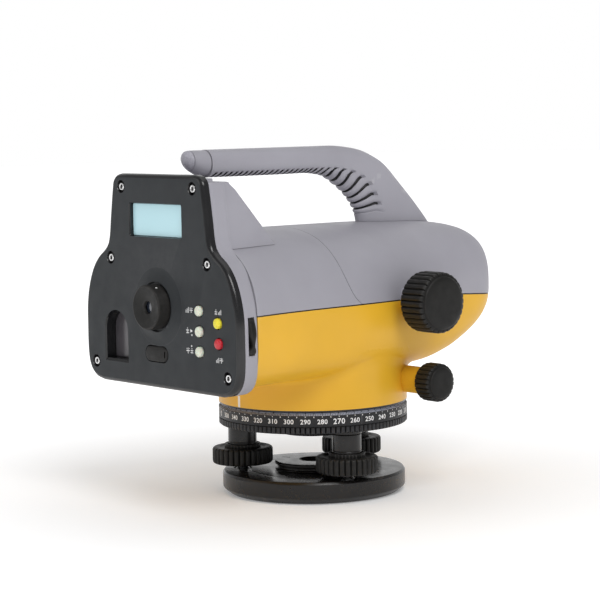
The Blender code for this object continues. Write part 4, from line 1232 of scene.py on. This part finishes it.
def eyepiece():
    """Collar that swells out of the panel, and the turning ring with its lens."""
    inner, outer, rise = 14.0, 21.5, 1.6
    collar = [(13.4, -0.05), (13.4, rise - 0.3), (13.7, rise)]
    for k in range(13):
        t = k / 12
        collar.append((inner + (outer - inner) * t, 0.01 + (rise - 0.01) * (1 - t) ** 2.2))
    collar.append((outer, -0.05))
    ready(on_panel("eyepiece_collar_fine", EYE, collar, PANEL, 128), "housing", "panel_black", "eyepiece_collar")
    ribs, deep, side, foot, floor, bore = 60, 0.25, 12.2, 0.4, 5.6, 7.0

    def grip(angle, radius, height):
        if radius < side - 0.3 or not 1.1 < height + PANEL_FACE < 7.3:
            return radius
        return radius - deep * (1 - abs(sin(angle * ribs / 2)) ** 0.6)

    ring = [(3.3, 6.3), (3.7, 7.1), (4.6, 7.45), (7.5, 7.9), (10.6, 8.4), (11.3, 8.5), (12.0, 8.1), (side, 7.5),
            (side, 0.7), (12.0, foot), (9.2, foot), (9.2, -12.3), (bore, -12.3), (bore, floor), (3.3, floor)]
    ready(on_panel("eyepiece_ring_fine", EYE, ring, RUBBER, 360, wobble=grip), "dioptre", "black_rubber",
          "eyepiece_ring")
    bearing = radians(62)
    mark = turned("dioptre_dot", ((0, 0.12), (0.55, 0.12), (0.55, -0.3), (0, -0.3)), WHITE,
                  (side * cos(bearing), PANEL_FACE - 5.1, SIGHT + side * sin(bearing)),
                  Matrix.Rotation(pi / 2 - bearing, 4, "Y"), 20, fillet=0)
    ready(mark, "dioptre", "black_rubber")
    radius, crown, sag = 6.7, 5.2, 1.2
    lens = [(0.0, crown)]
    lens += [(radius * sin(radians(a)), crown - sag * (1 - cos(radians(a)))) for a in range(10, 91, 10)]
    lens += [(radius, 1.8), (0.0, 1.2)]
    ready(on_panel("eyepiece_lens_fine", EYE, lens, LENS, 64), "dioptre", "glass", "eyepiece_lens")


# Telescope front, knobs and port cover -----------------------
def telescope():
    """Rubber bezel with a ribbed mouth, and the objective lens. Heights run from the front to the rear."""
    bezel = ((20.4, -110.6), (25.6, -110.6), (26.4, -111.4), (26.4, -116.6), (24.8, -118.5), (21.2, -118.5),
             (20.2, -117.9), (19.7, -117.0), (19.9, -116.7), (19.2, -115.9), (19.4, -115.6), (18.7, -114.8),
             (18.9, -114.5), (18.2, -113.6), (18.2, -113.0), (20.4, -113.0))
    ready(turned("objective_bezel_fine", bezel, RUBBER, EYE, TO_Y, 160, fillet=0.3), "housing", "black_rubber",
          "objective_bezel")
    radius, crown, sag = 16.9, -112.2, 2.6
    glass = [(0.0, crown)]
    glass += [(radius * sin(radians(a)), crown + sag * (1 - cos(radians(a)))) for a in range(9, 91, 9)]
    glass += [(radius, -105.2), (0.0, -104.0)]
    ready(turned("objective_lens_fine", glass, LENS, EYE, TO_Y, 96, fillet=0), "housing", "glass", "objective_lens")


def side_controls():
    """Focusing knob on the right, and a tangent knob on each side."""
    low, high = node_box("focus_knob")
    dome = 1.6
    knob = hand_knob("focus_knob_fine", 17.0, 1.2, 30, low.x, high.x - dome, (0, FOCUS_AT.y, FOCUS_AT.z),
                     bore=4.2, edge=2.2, turn=TO_X, dome=dome)
    ready(knob, "focus_drive", "black_rubber", "focus_knob")
    dome = 1.4
    for side, turn in (("right", TO_X), ("left", TO_MINUS_X)):
        low, high = node_box(f"tangent_knob_{side}")
        near, far = (low.x, high.x) if side == "right" else (-high.x, -low.x)
        knob = hand_knob(f"tangent_knob_{side}_fine", 10.8, 0.85, 24, near, far - dome,
                         (0, TANGENT_AT.y, TANGENT_AT.z), bore=3.2, edge=1.8, turn=turn, dome=dome)
        ready(knob, "tangent_drive", "black_rubber", f"tangent_knob_{side}")


def port_cover():
    """Rubber plug over the side port: a leaf above, a waist, and a flared pull tab below."""
    low, high = node_box("port_cover")
    middle, steps, count = (low.y + high.y) / 2, 40, 20
    width_at = smooth_curve((0.0, 0.10, 0.27, 0.60, 0.90, 1.0), [[2.2], [2.3], [0.95], [2.3], [2.1], [1.7]])
    rings = []
    for k in range(steps + 1):
        t = k / steps
        half = float(width_at(t)[0])
        rise = 1.0 if 0.03 < t < 0.97 else 0.72
        proud = (high.x - low.x) * (0.62 + 0.38 * sin(pi * min(1.0, t * 1.15)) ** 0.7) * rise
        ring = []
        for i in range(count):
            angle = 2 * pi * i / count
            out = signed_power(cos(angle), 0.6)
            wide = half * sin(angle) * (1.0 if abs(sin(angle)) < 0.99 else 0.99)
            ring.append((low.x + proud / 2 * (1 + out), middle + wide, low.z + (high.z - low.z) * t))
        rings.append(ring)
    ready(shade(skin("port_cover_fine", rings, RUBBER), 50), "port_flap", "black_rubber", "port_cover")


# Handle ------------------------------------------------------
HANDLE_REAR = node_box("handle_end_cap")[1].y + 0.3
SMOOTH_STEPS = 17         # points on each side of the bar's section before the finger slots
# Outer edge (y, z), inner edge (y, z), depth of the smooth side before the finger slots, half width.
HANDLE_STATIONS = (
    (HANDLE_REAR, 196.8, HANDLE_REAR, 181.6, 12.5, 7.4),
    (-43.0, 196.8, -43.0, 181.5, 12.5, 7.5),
    (-5.0, 196.8, -5.0, 181.7, 12.5, 7.6),
    (14.0, 196.8, 10.0, 179.6, 12.9, 7.8),
    (32.0, 195.0, 21.0, 173.2, 14.6, 8.0),
    (51.0, 188.2, 29.0, 166.0, 18.0, 8.2),
    (69.6, 172.0, 33.6, 159.0, 25.0, 8.4),
    (86.6, 154.6, 36.0, 152.0, 38.0, 8.6),
    (93.6, 146.4, 37.0, 144.0, 48.0, 8.8),
)


def handle():
    """Bar of oval section that widens as it curves down, its inner edge cut by finger slots."""
    run = [0.0]
    for near, far in zip(HANDLE_STATIONS, HANDLE_STATIONS[1:]):
        outside = hypot(far[0] - near[0], far[1] - near[1])
        inside = hypot(far[2] - near[2], far[3] - near[3])
        run.append(run[-1] + (outside + inside) / 2)
    at = smooth_curve(run, HANDLE_STATIONS)
    places = slot_places(run[-1])
    rings = [handle_ring(at(place), *slot) for place, *slot in places]
    piece = skin("handle_fine", rings, GREY)
    piece.data.materials.append(SHADE)
    count = len(rings[0])
    # Faces deep in a finger slot take SHADE: painted shade for the dark slot bottoms.
    for face in piece.data.polygons[:count * (len(rings) - 1)]:
        near, around = divmod(face.index, count)
        in_slot = max(places[near][1], places[near + 1][1]) > 1.0
        face.material_index = int(in_slot and SMOOTH_STEPS <= around <= count - SMOOTH_STEPS - 1)
    carve(piece, body_form("shell_clearance", -0.12))
    ready(shade(piece, 34), "housing", "grey", "handle_bar", "handle_grip")


def slot_places(length):
    """Each ring as (distance along the bar, depth of the slot below, depth of the slot at the sides, slant)."""
    places, here, step = [(0.0, 0.0, 0.0, 0.0), (1.5, 0.0, 0.0, 0.0)], 3.0, 0.04
    while here < length - 20.0:
        bend = min(1.0, max(0.0, (here / length - 0.44) / 0.2))
        pitch, slant = 3.6 + 4.4 * bend, 0.8 - 0.3 * bend
        width = (0.48 - 0.20 * bend) * pitch
        deep, side, swell = 2.3 + 0.9 * bend, 0.9 + 0.9 * bend, 0.1 + 0.8 * bend
        places += [(here, swell, swell + 0.45 * bend, slant), (here + step, deep, side, slant)]
        places += [(here + width - step, deep, side, slant), (here + width, swell, swell + 0.45 * bend, slant)]
        for t in (0.12, 0.3, 0.5, 0.7, 0.88):
            sunk = swell * (1 - sin(pi * t)) ** 2
            places.append((here + width + (pitch - width) * t, sunk, sunk + 0.45 * bend, slant))
        here += pitch
    places.append((here, 0.6, 1.0, 0.5))
    return places + [(here + (length - here) * k / 20, 0.0, 0.6, 0.5 * (1 - k / 20)) for k in range(1, 21)]


def handle_ring(station, below, side, slant):
    """An oval section of the bar. Past the smooth depth it is sunk by a slot and leans back along the bar."""
    outer_y, outer_z, inner_y, inner_z, smooth, half = station
    outer = Vector((0, outer_y, outer_z))
    across = Vector((0, inner_y, inner_z)) - outer
    full = across.length
    across.normalize()
    back = Vector((0, across.z, -across.y))
    start = float(np.arccos(np.clip(1 - 2 * smooth / full, -1, 1)))
    half_angles = [*np.linspace(0, start, SMOOTH_STEPS), *np.linspace(start + 0.03, pi, 15)]
    ring = []
    for angle in half_angles + [2 * pi - a for a in reversed(half_angles[1:-1])]:
        c, s = cos(angle), sin(angle)
        depth = full / 2 * (1 - signed_power(c, 0.86))
        wide = half * signed_power(s, 0.86)
        past = max(0.0, depth - smooth)
        low = min(1.0, past / 0.4)
        depth -= min(below, past)
        wide *= 1 - low * side / half
        lean = slant * min(past, 3.0)
        ring.append(tuple(outer + across * depth + back * lean + Vector((wide, 0, 0))))
    return ring


# Sections of the handle's end cap: place along Y, height of its centre, radius.
END_CAP = ((-75.1, 189.5, 7.1), (-80.0, 189.8, 6.8), (-84.5, 190.8, 5.8), (-87.6, 191.8, 4.3), (-89.2, 192.2, 2.2))


def handle_end():
    """Smooth tapered collar and grained dome that close the rear end of the handle."""
    at = smooth_curve([section[0] for section in END_CAP][::-1], [section[1:] for section in END_CAP][::-1])

    def circle(y, shrink=0.0):
        height, radius = at(y)
        reach = radius - shrink
        return [(cos(pi * k / 32) * reach, y, height + sin(pi * k / 32) * reach) for k in range(64)]

    seam = -85.4
    collar = [circle(-75.1, 0.3), *[circle(y) for y in np.linspace(-75.4, seam + 0.5, 11)], circle(seam + 0.2, 0.3)]
    dome = [circle(seam, 0.3), *[circle(y) for y in np.linspace(seam - 0.3, -88.9, 10)], circle(-89.15, 0.9)]
    pieces = (skin("handle_end_cap_fine", collar, GREY), skin("handle_end_dome", dome, GRAINED))
    for piece in pieces:
        ready(shade(piece, 40), "housing", "grey", "handle_end_cap")


# Studio ------------------------------------------------------
def studio():
    """White paper that grows brighter away from the object, a world that glows on one side, and three lamps."""
    floor = bpy.data.meshes.new("floor")
    reach, under = 6.0, -0.0003
    corners = ((-reach, -reach), (reach, -reach), (reach, reach), (-reach, reach))
    floor.from_pydata([(x, y, under) for x, y in corners], [], [(0, 1, 2, 3)])
    paper = Surface("floor_paper", (0.86, 0.86, 0.865), 0.9)
    paper.paint(paper.vary(400.0, 0.01))
    paper.bump(paper.noise(1.5), 0.02)
    away = paper.node("ShaderNodeVectorMath", operation="LENGTH")
    paper.link(paper.place, away.inputs[0])
    glow = paper.span(away.outputs["Value"], (0.10, 0.6), (0.20, 0.8))
    paper.link(glow, paper.shader.inputs["Emission Strength"])
    paper.shader.inputs["Emission Color"].default_value = (1.0, 1.0, 1.0, 1.0)
    floor.materials.append(paper.material)
    linked("floor", floor)

    world = bpy.data.worlds.new("studio")
    bpy.context.scene.world = world
    world.use_nodes = True
    nodes, links = world.node_tree.nodes, world.node_tree.links
    way = nodes.new("ShaderNodeVectorMath")
    way.operation = "DOT_PRODUCT"
    way.inputs[1].default_value = (-0.76, 0.64, 0.1)
    links.new(nodes.new("ShaderNodeTexCoord").outputs["Generated"], way.inputs[0])
    glow = nodes.new("ShaderNodeMapRange")
    for socket, value in (("From Min", 0.55), ("From Max", 0.95), ("To Min", 0.34), ("To Max", 1.0)):
        glow.inputs[socket].default_value = value
    links.new(way.outputs["Value"], glow.inputs["Value"])
    links.new(glow.outputs["Result"], nodes["Background"].inputs["Strength"])
    nodes["Background"].inputs["Color"].default_value = (1.0, 1.0, 1.0, 1.0)
    lamp("key", (1.15, -0.45, 1.3), 0.9, 13.5)
    lamp("fill", (-0.7, -1.4, 0.8), 1.2, 3.5)
    lamp("top", (0.1, 0.25, 1.6), 1.3, 3.0)
    bpy.context.scene.view_settings.view_transform = "Standard"


def lamp(name, place, size, power):
    """A round soft lamp aimed at the middle of the object."""
    light = bpy.data.lights.new(name, "AREA")
    light.shape = "DISK"
    light.size = size
    light.energy = power
    holder = linked(name, light)
    holder.location = place
    aim = Vector((0, 0, 0.11)) - Vector(place)
    holder.rotation_euler = aim.to_track_quat("-Z", "Y").to_euler()


def camera():
    """Long lens at a little above the height of the telescope, to the rear right of the object."""
    azimuth, elevation, roll = radians(49.971), radians(5.274), radians(-0.977)
    eye = Vector((0.91924, -0.78046, 0.22043))
    back = Vector((sin(azimuth) * cos(elevation), -cos(azimuth) * cos(elevation), sin(elevation)))
    right = Vector((cos(azimuth), sin(azimuth), 0))
    up = back.cross(right)
    across = right * cos(roll) + up * sin(roll)
    above = up * cos(roll) - right * sin(roll)
    lens = bpy.data.cameras.new("camera")
    lens.sensor_width = 36.0
    lens.lens = 127.0
    holder = linked("camera", lens)
    holder.matrix_world = Matrix.Translation(eye) @ Matrix((across, above, back)).transposed().to_4x4()
    bpy.context.scene.camera = holder


base_plate()
centre_bush()
feet()
tribrach_body()
circle_ring()
lower_shell()
upper_shell()
battery_door()
rear_frame()
rear_panel()
screws_and_keys()
panel_windows()
marks()
eyepiece()
telescope()
side_controls()
port_cover()
kept_nodes()
handle()
handle_end()
studio()
camera()
